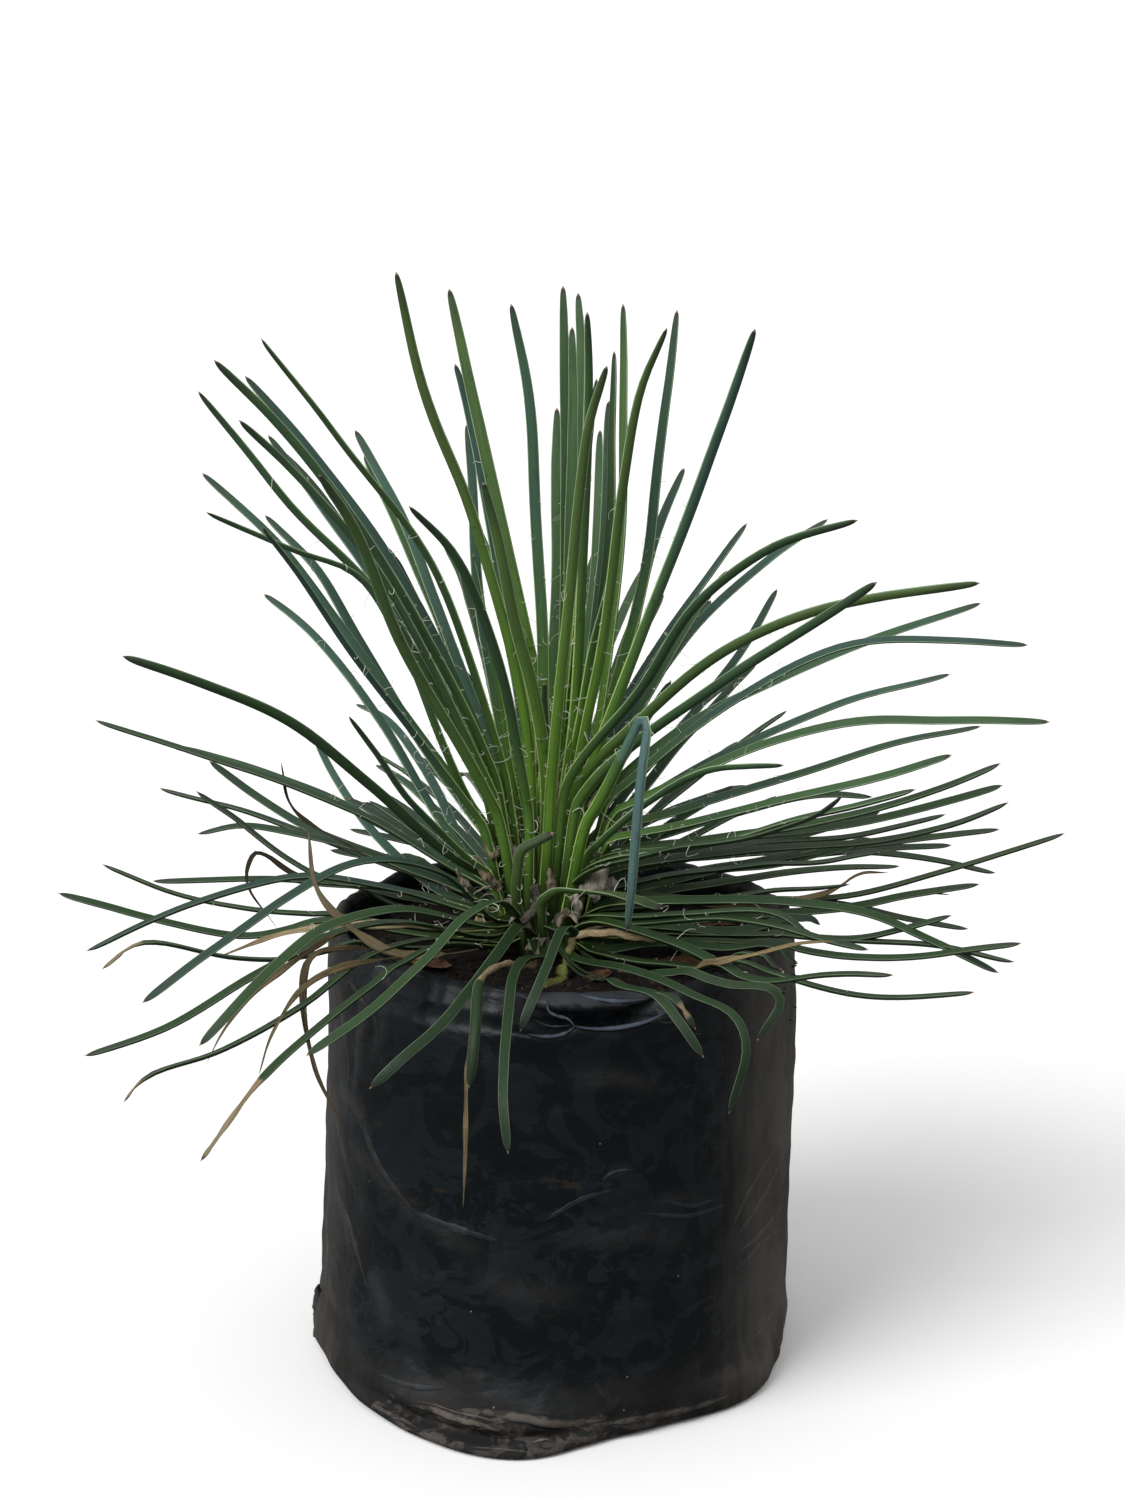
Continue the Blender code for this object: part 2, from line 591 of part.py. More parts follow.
def make_bag(group):
    """The grow bag: a thin open film with a flat foot, folded out at its corners."""
    material = new_material("black_film", (0.018, 0.021, 0.023), 0.42)
    profile = [(BAG_MOUTH_RADIUS, BAG_HEIGHT)]
    for share in WALL_RINGS:
        profile.append((wall_radius(share), BAG_HEIGHT * share))
    profile.append((BAG_FOOT_RADIUS - BAG_FOOT_FILLET * 0.6, BAG_FOOT_FILLET))
    profile.append((BAG_FOOT_RADIUS - BAG_FOOT_FILLET * 1.8, 0.0))
    profile.append((BAG_FLAT_RADIUS * 0.5, 0.0))
    profile.append((0.0, 0.0))
    bag = turned("grow_bag", profile, group, material)
    for vert in bag.data.vertices:
        x, y, z = vert.co
        vert.co = bag_bend(x, y, z)
    wall = bag.modifiers.new("film", "SOLIDIFY")
    wall.thickness = FILM
    wall.offset = -1.0
    wall.use_even_offset = True
    bag.data.shade_smooth()
    return bag


def make_soil(group, cutters):
    """The moist nursery soil that fills the bag, with a plain hole for the stem."""
    material = new_material("dark_soil", (0.055, 0.040, 0.030), 0.95)
    inset = FILM + FIT_GAP * 2
    profile = [(0.0, SOIL_LEVEL)]
    for share in SOIL_TOP_RINGS:
        profile.append(((BAG_MOUTH_RADIUS - inset) * share, SOIL_LEVEL))
    for share in SOIL_SIDE_RINGS:
        profile.append((wall_radius(share) - inset, BAG_HEIGHT * share))
    profile.append((BAG_FOOT_RADIUS - BAG_FOOT_FILLET * 3.2, inset))
    profile.append((BAG_FLAT_RADIUS * 0.5, inset))
    profile.append((0.0, inset))
    soil = turned("soil", profile, group, material)
    for vert in soil.data.vertices:
        x, y, z = vert.co
        top = z > SOIL_LEVEL - FIT_GAP
        bent = bag_bend(x, y, z)
        vert.co = (bent[0], bent[1], soil_height(bent[0], bent[1]) if top else z)
    bpy.ops.mesh.primitive_cylinder_add(
        vertices=STEM_STEPS, radius=STEM_RADIUS + FIT_GAP, depth=STEM_DEPTH * 2,
        location=(CROWN[0], CROWN[1], SOIL_LEVEL - FIT_GAP))
    cutter = bpy.context.object
    cutter.name = "stem_hole_cutter"
    cutter.hide_render = True
    cutter.display_type = "WIRE"
    for owner in list(cutter.users_collection):
        owner.objects.unlink(cutter)
    cutters.objects.link(cutter)
    hole = soil.modifiers.new("stem_hole", "BOOLEAN")
    hole.operation = "DIFFERENCE"
    hole.object = cutter
    return soil


def make_fallen_leaf(name, place, soil, group, material):
    """A dead leaf of another plant that lies on the soil, a little curled up along its edges."""
    x, y, length, width, bearing = place
    turn = math.radians(bearing)
    bpy.ops.mesh.primitive_grid_add(x_subdivisions=7, y_subdivisions=3, size=1.0)
    leaf = bpy.context.object
    leaf.name = name
    for owner in list(leaf.users_collection):
        owner.objects.unlink(leaf)
    group.objects.link(leaf)
    leaf.data.materials.append(material)
    for vert in leaf.data.vertices:
        along = vert.co.x
        across = vert.co.y * 2 * max(FALLEN_POINT, math.cos(math.pi * along * 0.96) ** 0.7)
        run = along * length
        beside = across * width / 2
        px = x + run * math.cos(turn) - beside * math.sin(turn)
        py = y + run * math.sin(turn) + beside * math.cos(turn)
        found, spot, _, _ = soil.ray_cast((px, py, BAG_HEIGHT), (0.0, 0.0, -1.0))
        height = spot.z if found else SOIL_LEVEL
        vert.co = (px, py, height + FALLEN_GAP + FALLEN_CURL * across ** 2)
    body = leaf.modifiers.new("body", "SOLIDIFY")
    body.thickness = FALLEN_THICKNESS
    body.offset = 1.0
    return leaf


def outer_body(mesh):
    """The mesh with only its largest closed body, so that sealed hollows are filled."""
    form = bmesh.new()
    form.from_mesh(mesh)
    left = set(form.faces)
    bodies = []
    while left:
        body = set()
        edge = [left.pop()]
        while edge:
            face = edge.pop()
            body.add(face)
            for neighbour in {other for side in face.edges for other in side.link_faces}:
                if neighbour in left:
                    left.remove(neighbour)
                    edge.append(neighbour)
        bodies.append(body)
    largest = max(bodies, key=len)
    scraps = [face for body in bodies if body is not largest for face in body]
    bmesh.ops.delete(form, geom=scraps, context="FACES")
    form.to_mesh(mesh)
    form.free()
    return mesh


def make_rosette(group):
    """The stem and crown with every leaf grown out of it, as one body."""
    material = new_material("agave_leaf", (0.055, 0.110, 0.052), 0.48)
    profile = [(radius, CROWN[2] + height) for radius, height in CROWN_PROFILE]
    crown = turned("rosette", profile, group, material)
    crown.data.transform(Matrix.Translation((CROWN[0], CROWN[1], 0.0)))
    blades = new_collection("leaf blades")
    for count, (line, heading, width, roll) in enumerate(all_leaves()):
        inward = line[1] - line[0]
        start = line[0] - inward / np.linalg.norm(inward) * ROOT_SINK
        rooted = np.vstack([start, line[1:]])
        mesh = leaf_mesh(f"leaf_{count:03d}", rooted, heading, width, roll)
        new_object(mesh.name, mesh, blades, material)
    join = crown.modifiers.new("leaves", "BOOLEAN")
    join.operation = "UNION"
    join.operand_type = "COLLECTION"
    join.collection = blades
    join.solver = "MANIFOLD"
    whole = evaluated_mesh(crown)
    crown.modifiers.clear()
    crown.data = outer_body(whole)
    for blade in list(blades.objects):
        bpy.data.objects.remove(blade)
    bpy.data.collections.remove(blades)
    return crown


def main():
    """The whole plant in its bag."""
    for item in list(bpy.data.objects):
        bpy.data.objects.remove(item)
    parts = new_collection("potted agave")
    cutters = new_collection("cutters")
    make_bag(parts)
    soil = make_soil(parts, cutters)
    bpy.context.view_layer.update()
    litter = new_material("fallen_leaf", (0.130, 0.075, 0.040), 0.75)
    for count, place in enumerate(FALLEN_LEAVES, 1):
        make_fallen_leaf(f"fallen_leaf_{count}", place, soil, parts, litter)
    make_rosette(parts)


main()
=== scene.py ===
import math
import random
from functools import partial

import bmesh
import bpy
import numpy as np
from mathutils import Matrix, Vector, noise
from mathutils.bvhtree import BVHTree


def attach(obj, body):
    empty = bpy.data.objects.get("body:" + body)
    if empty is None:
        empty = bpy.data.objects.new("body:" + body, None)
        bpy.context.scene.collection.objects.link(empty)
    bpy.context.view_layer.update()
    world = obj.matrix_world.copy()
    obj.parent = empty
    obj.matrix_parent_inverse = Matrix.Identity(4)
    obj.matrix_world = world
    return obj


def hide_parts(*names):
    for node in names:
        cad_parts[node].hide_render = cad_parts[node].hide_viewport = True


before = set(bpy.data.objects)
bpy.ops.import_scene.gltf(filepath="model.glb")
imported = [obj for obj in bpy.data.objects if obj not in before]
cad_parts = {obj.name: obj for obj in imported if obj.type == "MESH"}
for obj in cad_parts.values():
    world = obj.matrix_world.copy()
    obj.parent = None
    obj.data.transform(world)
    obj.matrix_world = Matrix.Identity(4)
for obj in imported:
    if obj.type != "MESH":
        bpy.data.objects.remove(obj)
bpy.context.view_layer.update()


# Grow bag
# A tube of thin black polythene film, welded flat across its foot and blown open by the soil in it.
# Its foot is tucked and pleated under the load, and its mouth is turned in by hand, doubled at the front.
BAG_HEIGHT = 0.215
BAG_MOUTH_RADIUS = 0.1113
BAG_MIDDLE_RADIUS = 0.1130
BAG_FOOT_RADIUS = 0.1150
BAG_FLAT_RADIUS = 0.1040
BAG_LEAN = 0.0057
WALL_WAVE = 0.0012
WAVES_ROUND = 3
WAVE_RISE = 9.0
FOOT_FOLD_HEIGHT = 0.035
FOOT_FOLD_FALL = 1.5
FOOT_FOLD_START = 4
FILM = 0.0005
SLUMP = 0.0011
CRUMPLE = 0.0007
BAG_COLUMNS = 320
RIM_ROWS = 48
WALL_ROWS = 58
FOOT_ROWS = 30
CURVE_STEPS = 13

# Folds that stick out at the foot: compass angle, half spread in degrees, and how far out
FOOT_FOLDS = (
    (-100, 20, 0.0150),
    (-136, 14, 0.0050),
    (-38, 15, 0.0070),
    (178, 12, 0.0040),
    (70, 18, 0.0070),
    (135, 15, 0.0050),
    (15, 14, 0.0030),
)

# Sections of the mouth, from the wall inwards: how far out of the wall, and height
RIM_UPRIGHT = (
    (0.0, 0.1880), (0.0, 0.1960), (-0.0002, 0.2040), (-0.0008, 0.2100), (-0.0026, 0.2140),
    (-0.0054, 0.2148), (-0.0078, 0.2128), (-0.0090, 0.2080), (-0.0092, 0.2020), (-0.0092, 0.1940),
)
RIM_SLOPING = (
    (0.0, 0.1850), (-0.0002, 0.1900), (-0.0010, 0.1948), (-0.0036, 0.1982), (-0.0078, 0.1998),
    (-0.0118, 0.2008), (-0.0142, 0.2040), (-0.0166, 0.2082), (-0.0200, 0.2100), (-0.0230, 0.2080),
    (-0.0240, 0.2010), (-0.0240, 0.1930),
)
RIM_DOUBLED = (
    (0.0002, 0.1840), (0.0012, 0.1900), (0.0016, 0.1955), (0.0010, 0.1992), (-0.0008, 0.2003),
    (-0.0024, 0.1985), (-0.0034, 0.1930), (-0.0052, 0.1878), (-0.0090, 0.1862), (-0.0130, 0.1890),
    (-0.0154, 0.1950), (-0.0146, 0.2010), (-0.0112, 0.2026), (-0.0104, 0.2046), (-0.0122, 0.2072),
    (-0.0152, 0.2088), (-0.0190, 0.2090), (-0.0224, 0.2070), (-0.0240, 0.2020), (-0.0244, 0.1930),
)

# Where each section holds: compass angle, half spread in degrees
SLOPING_AT = (-118, 34)
DOUBLED_AT = (-82.5, 17)

# The lower lip of the doubled mouth: how much of its height each row follows, and its pixels
LIP_FOLLOWS = (0.0, 0.2, 0.7, 1.0, 1.0, 1.0, 0.7, 0.3) + (0.0,) * 12
LIP_PIXELS = (
    (505, 1030), (523, 1034), (537, 1036), (553, 1035), (564, 1031), (572, 1027), (590, 1028.5), (611, 1028),
    (628, 1025), (647, 1019), (665, 1010), (680, 1003),
)

# Sections of the foot: a plain rounded edge, and a pleat that laps over a rolled one
FOOT_PLAIN = (
    (0.0, 0.0300), (0.0005, 0.0220), (0.0009, 0.0160), (0.0009, 0.0110), (0.0007, 0.0075),
    (0.0002, 0.0048), (-0.0008, 0.0026), (-0.0024, 0.0010), (-0.0046, 0.0002), (-0.0090, 0.0),
)
FOOT_PLEATED = (
    (0.0, 0.0300), (0.0008, 0.0240), (0.0018, 0.0184), (0.0034, 0.0144), (0.0028, 0.0112),
    (0.0006, 0.0088), (-0.0016, 0.0068), (-0.0026, 0.0054), (0.0006, 0.0047), (0.0044, 0.0040),
    (0.0056, 0.0020), (0.0030, 0.0004), (-0.0090, 0.0),
)
PLEATED_AT = (-108, 22)

# Where the photograph was taken from, in a frame of 1125 by 1500
PHOTO_FOCAL = 2800.0
PHOTO_MIDDLE = (562.5, 750.0)
VIEWER = np.array([0.0057, -1.272, 0.628])
VIEW_PITCH = math.radians(-14.6)
VIEW_AHEAD = np.array([0.0, math.cos(VIEW_PITCH), math.sin(VIEW_PITCH)])
VIEW_UP = np.array([0.0, -math.sin(VIEW_PITCH), math.cos(VIEW_PITCH)])

# Creases seen in the film: relief and width in millimetres, and the pixels that each runs through
SEEN_CREASES = (
    (0.9, 3.0, (333, 985), (336, 1020), (341, 1050)),
    (0.8, 3.5, (352, 985), (358, 1030), (352, 1075)),
    (0.7, 3.0, (372, 1000), (376, 1030), (366, 1072)),
    (-0.6, 2.2, (346, 1035), (348, 1080), (346, 1095)),
    (0.9, 3.0, (332, 1086), (352, 1104), (370, 1134)),
    (0.8, 3.0, (331, 1102), (340, 1137), (353, 1188)),
    (0.7, 4.0, (350, 1140), (372, 1168), (392, 1196)),
    (0.8, 3.0, (328, 1190), (329, 1225), (331, 1256)),
    (0.8, 3.0, (335, 1186), (349, 1230), (352, 1250)),
    (0.8, 4.0, (331, 1256), (337, 1288), (345, 1316)),
    (0.6, 5.0, (372, 1266), (386, 1300), (396, 1330)),
    (0.5, 5.0, (388, 1180), (404, 1200), (418, 1222)),
    (0.5, 5.0, (420, 1216), (450, 1236), (486, 1252)),
    (0.6, 6.0, (470, 1270), (520, 1290), (590, 1296)),
    (0.5, 5.0, (408, 1384), (440, 1386), (480, 1398)),
    (0.9, 2.6, (795, 960), (795, 1010), (791, 1100)),
    (0.6, 3.0, (786, 990), (783, 1050), (777, 1100)),
    (0.8, 3.0, (793, 1050), (782, 1105), (757, 1168)),
    (0.8, 3.0, (790, 1120), (779, 1150), (764, 1182)),
    (0.8, 3.0, (789, 1155), (781, 1180), (748, 1216)),
    (0.8, 3.0, (787, 1185), (778, 1208), (762, 1236)),
    (0.7, 3.0, (786, 1204), (774, 1228), (752, 1252)),
    (0.8, 3.4, (785, 1262), (778, 1290), (766, 1324)),
    (0.7, 3.4, (787, 1290), (781, 1312), (768, 1340)),
    (0.5, 3.0, (709, 1203), (680, 1198), (643, 1210)),
    (0.5, 3.0, (604, 1182), (620, 1170), (636, 1169)),
    (0.6, 4.0, (560, 1085), (610, 1078), (660, 1090)),
    (0.4, 5.0, (560, 1240), (640, 1232), (700, 1246)),
    (0.7, 4.0, (690, 1392), (720, 1376), (752, 1366)),
)
UNSEEN_CREASES = 34
CREASE_SEED = 5


def sight_line(pixel):
    """Direction from the viewer through a pixel, for one metre of depth along +Y."""
    across = (pixel[0] - PHOTO_MIDDLE[0]) / PHOTO_FOCAL
    below = (pixel[1] - PHOTO_MIDDLE[1]) / PHOTO_FOCAL
    line = VIEW_AHEAD - VIEW_UP * below + np.array([across, 0.0, 0.0])
    return line / line[1]


def seen_at(pixel, depth):
    """The point on a pixel's sight line that lies at a given Y."""
    return VIEWER + sight_line(pixel) * (depth - VIEWER[1])


def pixel_of(point):
    """The pixel at which the photograph shows a point."""
    offset = np.asarray(point) - VIEWER
    ahead = offset[1] * VIEW_AHEAD[1] + offset[2] * VIEW_AHEAD[2]
    above = offset[2] * VIEW_UP[2] + offset[1] * VIEW_UP[1]
    across = PHOTO_MIDDLE[0] + PHOTO_FOCAL * offset[0] / ahead
    return (across, PHOTO_MIDDLE[1] - PHOTO_FOCAL * above / ahead)


def smooth_course(knots, count):
    """Evenly spaced points on a smooth curve through the knots."""
    knots = np.asarray(knots, float)
    first = 2 * knots[0] - knots[1]
    last = 2 * knots[-1] - knots[-2]
    row = np.vstack([first, knots, last])
    fine = [knots[0]]
    for a, b, c, d in zip(row[:-3], row[1:-2], row[2:-1], row[3:]):
        ta = 0.0
        tb = ta + np.linalg.norm(b - a) ** 0.5
        tc = tb + np.linalg.norm(c - b) ** 0.5
        td = tc + np.linalg.norm(d - c) ** 0.5
        for t in np.linspace(tb, tc, CURVE_STEPS)[1:]:
            ab = ((tb - t) * a + (t - ta) * b) / (tb - ta)
            bc = ((tc - t) * b + (t - tb) * c) / (tc - tb)
            cd = ((td - t) * c + (t - tc) * d) / (td - tc)
            abc = ((tc - t) * ab + (t - ta) * bc) / (tc - ta)
            bcd = ((td - t) * bc + (t - tb) * cd) / (td - tb)
            fine.append(((tc - t) * abc + (t - tb) * bcd) / (tc - tb))
    return resampled(np.array(fine), np.linspace(0.0, 1.0, count))


def resampled(line, shares):
    """Points at given shares of a line's length."""
    walked = np.concatenate([[0.0], np.cumsum(np.linalg.norm(np.diff(line, axis=0), axis=1))])
    wanted = np.asarray(shares) * walked[-1]
    return np.stack([np.interp(wanted, walked, line[:, i]) for i in range(line.shape[1])], -1)


def turn_between(first, second):
    """The turn from one compass angle to another, at most half round."""
    return (second - first + math.pi) % (2 * math.pi) - math.pi


def bump_share(angle, at):
    """How far a place that is centred on a compass angle holds: 1 in its middle, 0 away from it."""
    edge = abs(turn_between(math.radians(at[0]), angle)) / math.radians(at[1])
    return 1.0 / (1.0 + edge ** 6)


def noise_at(x, y, z):
    """A smooth random value that belongs to a place."""
    return noise.noise(Vector((x, y, z)))


def unit(rows):
    """Rows of directions, each made one long."""
    return rows / np.linalg.norm(rows, axis=-1)[..., None]


def wall_radius(height):
    """The bag's mean radius at a height."""
    widths = (BAG_FOOT_RADIUS, BAG_MIDDLE_RADIUS, BAG_MOUTH_RADIUS)
    return float(np.interp(height / BAG_HEIGHT, (0.0, 0.5, 1.0), widths))


def bag_bend(x, y, z):
    """Where a point of the turned bag lies on the real one: leaning, with its corners folded out."""
    angle = math.atan2(y, x)
    reach = math.hypot(x, y)
    share = min(1.0, reach / BAG_FLAT_RADIUS)
    low = max(0.0, 1.0 - z / FOOT_FOLD_HEIGHT) ** FOOT_FOLD_FALL
    out = 0.0
    for compass, spread, fold in FOOT_FOLDS:
        off = turn_between(math.radians(compass), angle)
        out += fold * math.exp(-((off / math.radians(spread)) ** 2))
    swing = math.sin(WAVES_ROUND * angle + WAVE_RISE * z)
    wave = WALL_WAVE * swing * math.sin(math.pi * min(1.0, z / BAG_HEIGHT))
    reach += (out * low + wave) * share ** FOOT_FOLD_START
    lean = BAG_LEAN * z / BAG_HEIGHT
    return (reach * math.cos(angle) + lean, reach * math.sin(angle), z)


def on_wall(pixel, radius=BAG_MIDDLE_RADIUS):
    """Compass angle and height at which a pixel's sight line comes to a distance from the bag's axis."""
    line = sight_line(pixel)
    start = VIEWER - np.array([BAG_LEAN / 2, 0.0, 0.0])
    squared = line[0] ** 2 + line[1] ** 2
    half = start[0] * line[0] + start[1] * line[1]
    rest = start[0] ** 2 + start[1] ** 2 - radius ** 2
    spot = start + line * ((-half - math.sqrt(max(0.0, half * half - squared * rest))) / squared)
    return math.atan2(spot[1], spot[0]), spot[2]


def film_relief():
    """The courses of all creases on the unrolled wall, each with its relief and width."""
    creases = []
    for relief, width, *pixels in SEEN_CREASES:
        spots = [on_wall(pixel) for pixel in pixels]
        course = np.array([(angle * BAG_MIDDLE_RADIUS, height) for angle, height in spots])
        creases.append((course, relief / 1000, width / 1000))
    draw = random.Random(CREASE_SEED)
    for _ in range(UNSEEN_CREASES):
        angle = math.radians(draw.uniform(8, 172))
        height = draw.uniform(0.03, 0.19)
        slant = draw.uniform(-0.8, 0.8)
        length = draw.uniform(0.02, 0.06)
        start = np.array([angle * BAG_MIDDLE_RADIUS, height])
        bend = draw.uniform(-0.006, 0.006)
        middle = start + (slant * length / 2 + bend, -length / 2)
        last = start + (slant * length, -length)
        course = np.array([start, middle, last])
        creases.append((course, draw.uniform(0.0004, 0.0009), draw.uniform(0.0026, 0.0050)))
    return creases


def crease_height(creases, along_wall, height):
    """How far the creases raise the film, over arrays of places on the unrolled wall."""
    raised = np.zeros_like(along_wall)
    for course, relief, width in creases:
        nearest = np.full_like(along_wall, 1.0)
        fade = np.zeros_like(along_wall)
        steps = len(course) - 1
        for k, (a, b) in enumerate(zip(course[:-1], course[1:])):
            run = b - a
            share = ((along_wall - a[0]) * run[0] + (height - a[1]) * run[1]) / (run @ run)
            share = np.clip(share, 0.0, 1.0)
            away = np.hypot(along_wall - a[0] - share * run[0], height - a[1] - share * run[1])
            closer = away < nearest
            nearest = np.where(closer, away, nearest)
            fade = np.where(closer, np.sin(math.pi * np.clip((k + share) / steps, 0.02, 0.98)), fade)
        raised += relief * np.exp(-((nearest / width) ** 2)) * fade ** 0.7
    return raised


def mixed_rows(first, second, weight, count):
    """Evenly spaced rows of a section between two given ones."""
    return smooth_course(first, count) * (1.0 - weight) + smooth_course(second, count) * weight


def new_piece(name, mesh):
    """A mesh as an object at the origin."""
    piece = bpy.data.objects.new(name, mesh)
    bpy.context.scene.collection.objects.link(piece)
    return piece


def skin(points, closed_start, closed_end):
    """A mesh over a grid of points that runs round in its second direction."""
    rows, columns, _ = points.shape
    corners = points.reshape(-1, 3).tolist()
    faces = []
    for i in range(rows - 1):
        for j in range(columns):
            k = (j + 1) % columns
            faces.append((i * columns + j, (i + 1) * columns + j, (i + 1) * columns + k, i * columns + k))
    for wanted, row, turned in ((closed_start, 0, False), (closed_end, rows - 1, True)):
        if wanted:
            centre = len(corners)
            corners.append(points[row].mean(axis=0).tolist())
            for j in range(columns):
                pair = (row * columns + j, row * columns + (j + 1) % columns)
                faces.append((centre, *pair[::-1]) if turned else (centre, *pair))
    mesh = bpy.data.meshes.new("skin")
    mesh.from_pydata(corners, [], faces)
    form = bmesh.new()
    form.from_mesh(mesh)
    bmesh.ops.recalc_face_normals(form, faces=form.faces[:])
    form.to_mesh(mesh)
    form.free()
    mesh.shade_smooth()
    return mesh


creases = film_relief()
lip_line = sorted(on_wall(pixel, BAG_MOUTH_RADIUS + 0.0012) for pixel in LIP_PIXELS)
columns = []
for j in range(BAG_COLUMNS):
    angle = -math.pi + 2 * math.pi * j / BAG_COLUMNS
    sloping = bump_share(angle, SLOPING_AT)
    doubled = bump_share(angle, DOUBLED_AT)
    rim = mixed_rows(RIM_UPRIGHT, RIM_SLOPING, sloping, RIM_ROWS)
    lip = np.array(RIM_DOUBLED)
    lip[:, 1] += (np.interp(angle, *np.transpose(lip_line)) - 0.2003) * np.array(LIP_FOLLOWS)
    rim = (rim * (1.0 - doubled) + smooth_course(lip, RIM_ROWS) * doubled)[::-1]
    foot = mixed_rows(FOOT_PLAIN, FOOT_PLEATED, bump_share(angle, PLEATED_AT), FOOT_ROWS)
    between = np.linspace(rim[-1], foot[0], WALL_ROWS + 2)[1:-1]
    columns.append(np.vstack([rim, between, foot]))
section = np.array(columns).transpose(1, 0, 2)
rows = section.shape[0]
angles = np.linspace(-math.pi, math.pi, BAG_COLUMNS, endpoint=False)
unrolled = np.broadcast_to(angles * BAG_MIDDLE_RADIUS, section.shape[:2])
raised = crease_height(creases, unrolled, section[:, :, 1])
film = np.zeros((rows, BAG_COLUMNS, 3))
for i in range(rows):
    for j in range(BAG_COLUMNS):
        out, height = section[i, j]
        ring = (math.cos(angles[j]), math.sin(angles[j]))
        x, y = ring[0] * 0.11, ring[1] * 0.11
        slump = noise_at(x * 24.0 + 3.1, y * 24.0, height * 24.0) * SLUMP
        slump += noise_at(x * 55.0, y * 55.0, height * 88.0) * (SLUMP / 2)
        slump += (0.5 - abs(noise_at(x * 62.0, y * 62.0, height * 40.0 + 9.0))) * CRUMPLE
        free = min(1.0, max(0.15, (0.212 - height) / 0.02)) * min(1.0, 0.3 + height / 0.03)
        free *= 1.0 - 0.7 * bump_share(angles[j], DOUBLED_AT) * (height > 0.193)
        reach = wall_radius(height) + out + (slump - 0.0004) * free + raised[i, j] * min(1.0, free + 0.2)
        if i < RIM_ROWS:
            ruck = noise_at(ring[0] * 4.4, ring[1] * 4.4, 1.7)
            fine = noise_at(ring[0] * 15.0, ring[1] * 15.0, height * 60.0)
            inner = (1.0 - i / RIM_ROWS) * (1.0 - 0.6 * bump_share(angles[j], DOUBLED_AT))
            reach += (ruck * 0.0034 + fine * 0.0012) * inner
            height += (ruck * 0.0022 + fine * 0.0008) * max(0.0, 1.0 - abs(inner - 0.45) * 2.2)
        if height < 0.032:
            tuck = noise_at(ring[0] * 9.0, ring[1] * 9.0, height * 70.0 + 4.0)
            height = max(0.0, height + tuck * 0.0016 * min(1.0, height / 0.008))
            reach += tuck * 0.0014 * min(1.0, height / 0.004)
        film[i, j] = bag_bend(reach * ring[0], reach * ring[1], height)
film = np.concatenate([film, [film[-1] * (share, share, 0.0) for share in (0.82, 0.55, 0.28, 0.08)]])
bag = new_piece("grow_bag_film", skin(film, False, True))
roll = (section[:, :, 0] < -0.0108) & (section[:, :, 1] > 0.1995)
roll = roll * np.array([bump_share(angle, DOUBLED_AT) for angle in angles])
# Crease crests are paler, partly rubbed dust and partly a painted reflection; the mouth's roll is less brown, so it
# takes a painted pale blue sky highlight
worn_and_glinting_ridges = np.clip(raised / 0.0009, 0.0, 1.0) * 0.20 + roll * 0.26
for label, values in (("wear", worn_and_glinting_ridges), ("brown", 0.8 - 0.45 * roll)):
    values = np.concatenate([values.ravel(), np.zeros(len(bag.data.vertices) - values.size)])
    bag.data.attributes.new(label, "FLOAT", "POINT").data.foreach_set("value", values.astype(np.float32))


def settled(piece):
    """The piece with what its modifiers give as its plain mesh."""
    graph = bpy.context.evaluated_depsgraph_get()
    whole = piece.evaluated_get(graph)
    mesh = bpy.data.meshes.new_from_object(whole, preserve_all_data_layers=True, depsgraph=graph)
    piece.modifiers.clear()
    piece.data = mesh
    return piece


def thickened(piece, thickness, offset):
    """The piece with a wall where it was a bare sheet."""
    wall = piece.modifiers.new("wall", "SOLIDIFY")
    wall.thickness = thickness
    wall.offset = offset
    return settled(piece)


def add(tree, kind, inputs=(), **settings):
    """A node with its settings, and its inputs set to values or linked to outputs."""
    made = tree.nodes.new(kind)
    for name, value in settings.items():
        setattr(made, name, value)
    for key, value in dict(inputs).items():
        if isinstance(value, bpy.types.NodeSocket):
            tree.links.new(value, made.inputs[key])
        else:
            made.inputs[key].default_value = value
    return made


def reckoned(kind, tree, first, second=0.0):
    """The result of a mathematical node."""
    return add(tree, "ShaderNodeMath", {0: first, 1: second}, operation=kind).outputs[0]


def times(tree, first, *others):
    """The product of two values or more."""
    for other in others:
        first = reckoned("MULTIPLY", tree, first, other)
    return first


plus, minus, larger, is_over, is_under, unsigned = (
    partial(reckoned, kind) for kind in ("ADD", "SUBTRACT", "MAXIMUM", "GREATER_THAN", "LESS_THAN", "ABSOLUTE"))


def eased(tree, value, low, high, least=0.0, most=1.0):
    """A value's place between two limits, eased, from least to most."""
    limits = {"Value": value, "From Min": low, "From Max": high, "To Min": least, "To Max": most}
    return add(tree, "ShaderNodeMapRange", limits, interpolation_type="SMOOTHSTEP").outputs["Result"]


def tinted(tree, share, first, second):
    """A colour between two, by a share."""
    first, second = ((*tint, 1.0) if isinstance(tint, tuple) else tint for tint in (first, second))
    return add(tree, "ShaderNodeMix", {0: share, 6: first, 7: second}, data_type="RGBA").outputs[2]


def cloudy(tree, place, scale, detail=4.0, roughness=0.55, distortion=0.0):
    """A noise's value over a place."""
    inputs = {"Vector": place, "Scale": scale, "Detail": detail, "Roughness": roughness, "Distortion": distortion}
    return add(tree, "ShaderNodeTexNoise", inputs).outputs[0]


def axis_of(tree, place, axis):
    """A place's share along one axis."""
    return add(tree, "ShaderNodeSeparateXYZ", {0: place}).outputs[axis]


def told(tree, label, kind="FLOAT"):
    """What an attribute of the piece says."""
    if tree.type == "SHADER":
        return add(tree, "ShaderNodeAttribute", attribute_name=label).outputs["Fac"]
    return add(tree, "GeometryNodeInputNamedAttribute", {0: label}, data_type=kind).outputs[0]


def stretched(tree, place, scale, location=(0.0, 0.0, 0.0)):
    """A place, scaled unevenly."""
    return add(tree, "ShaderNodeMapping", {"Vector": place, "Scale": scale, "Location": location}).outputs[0]


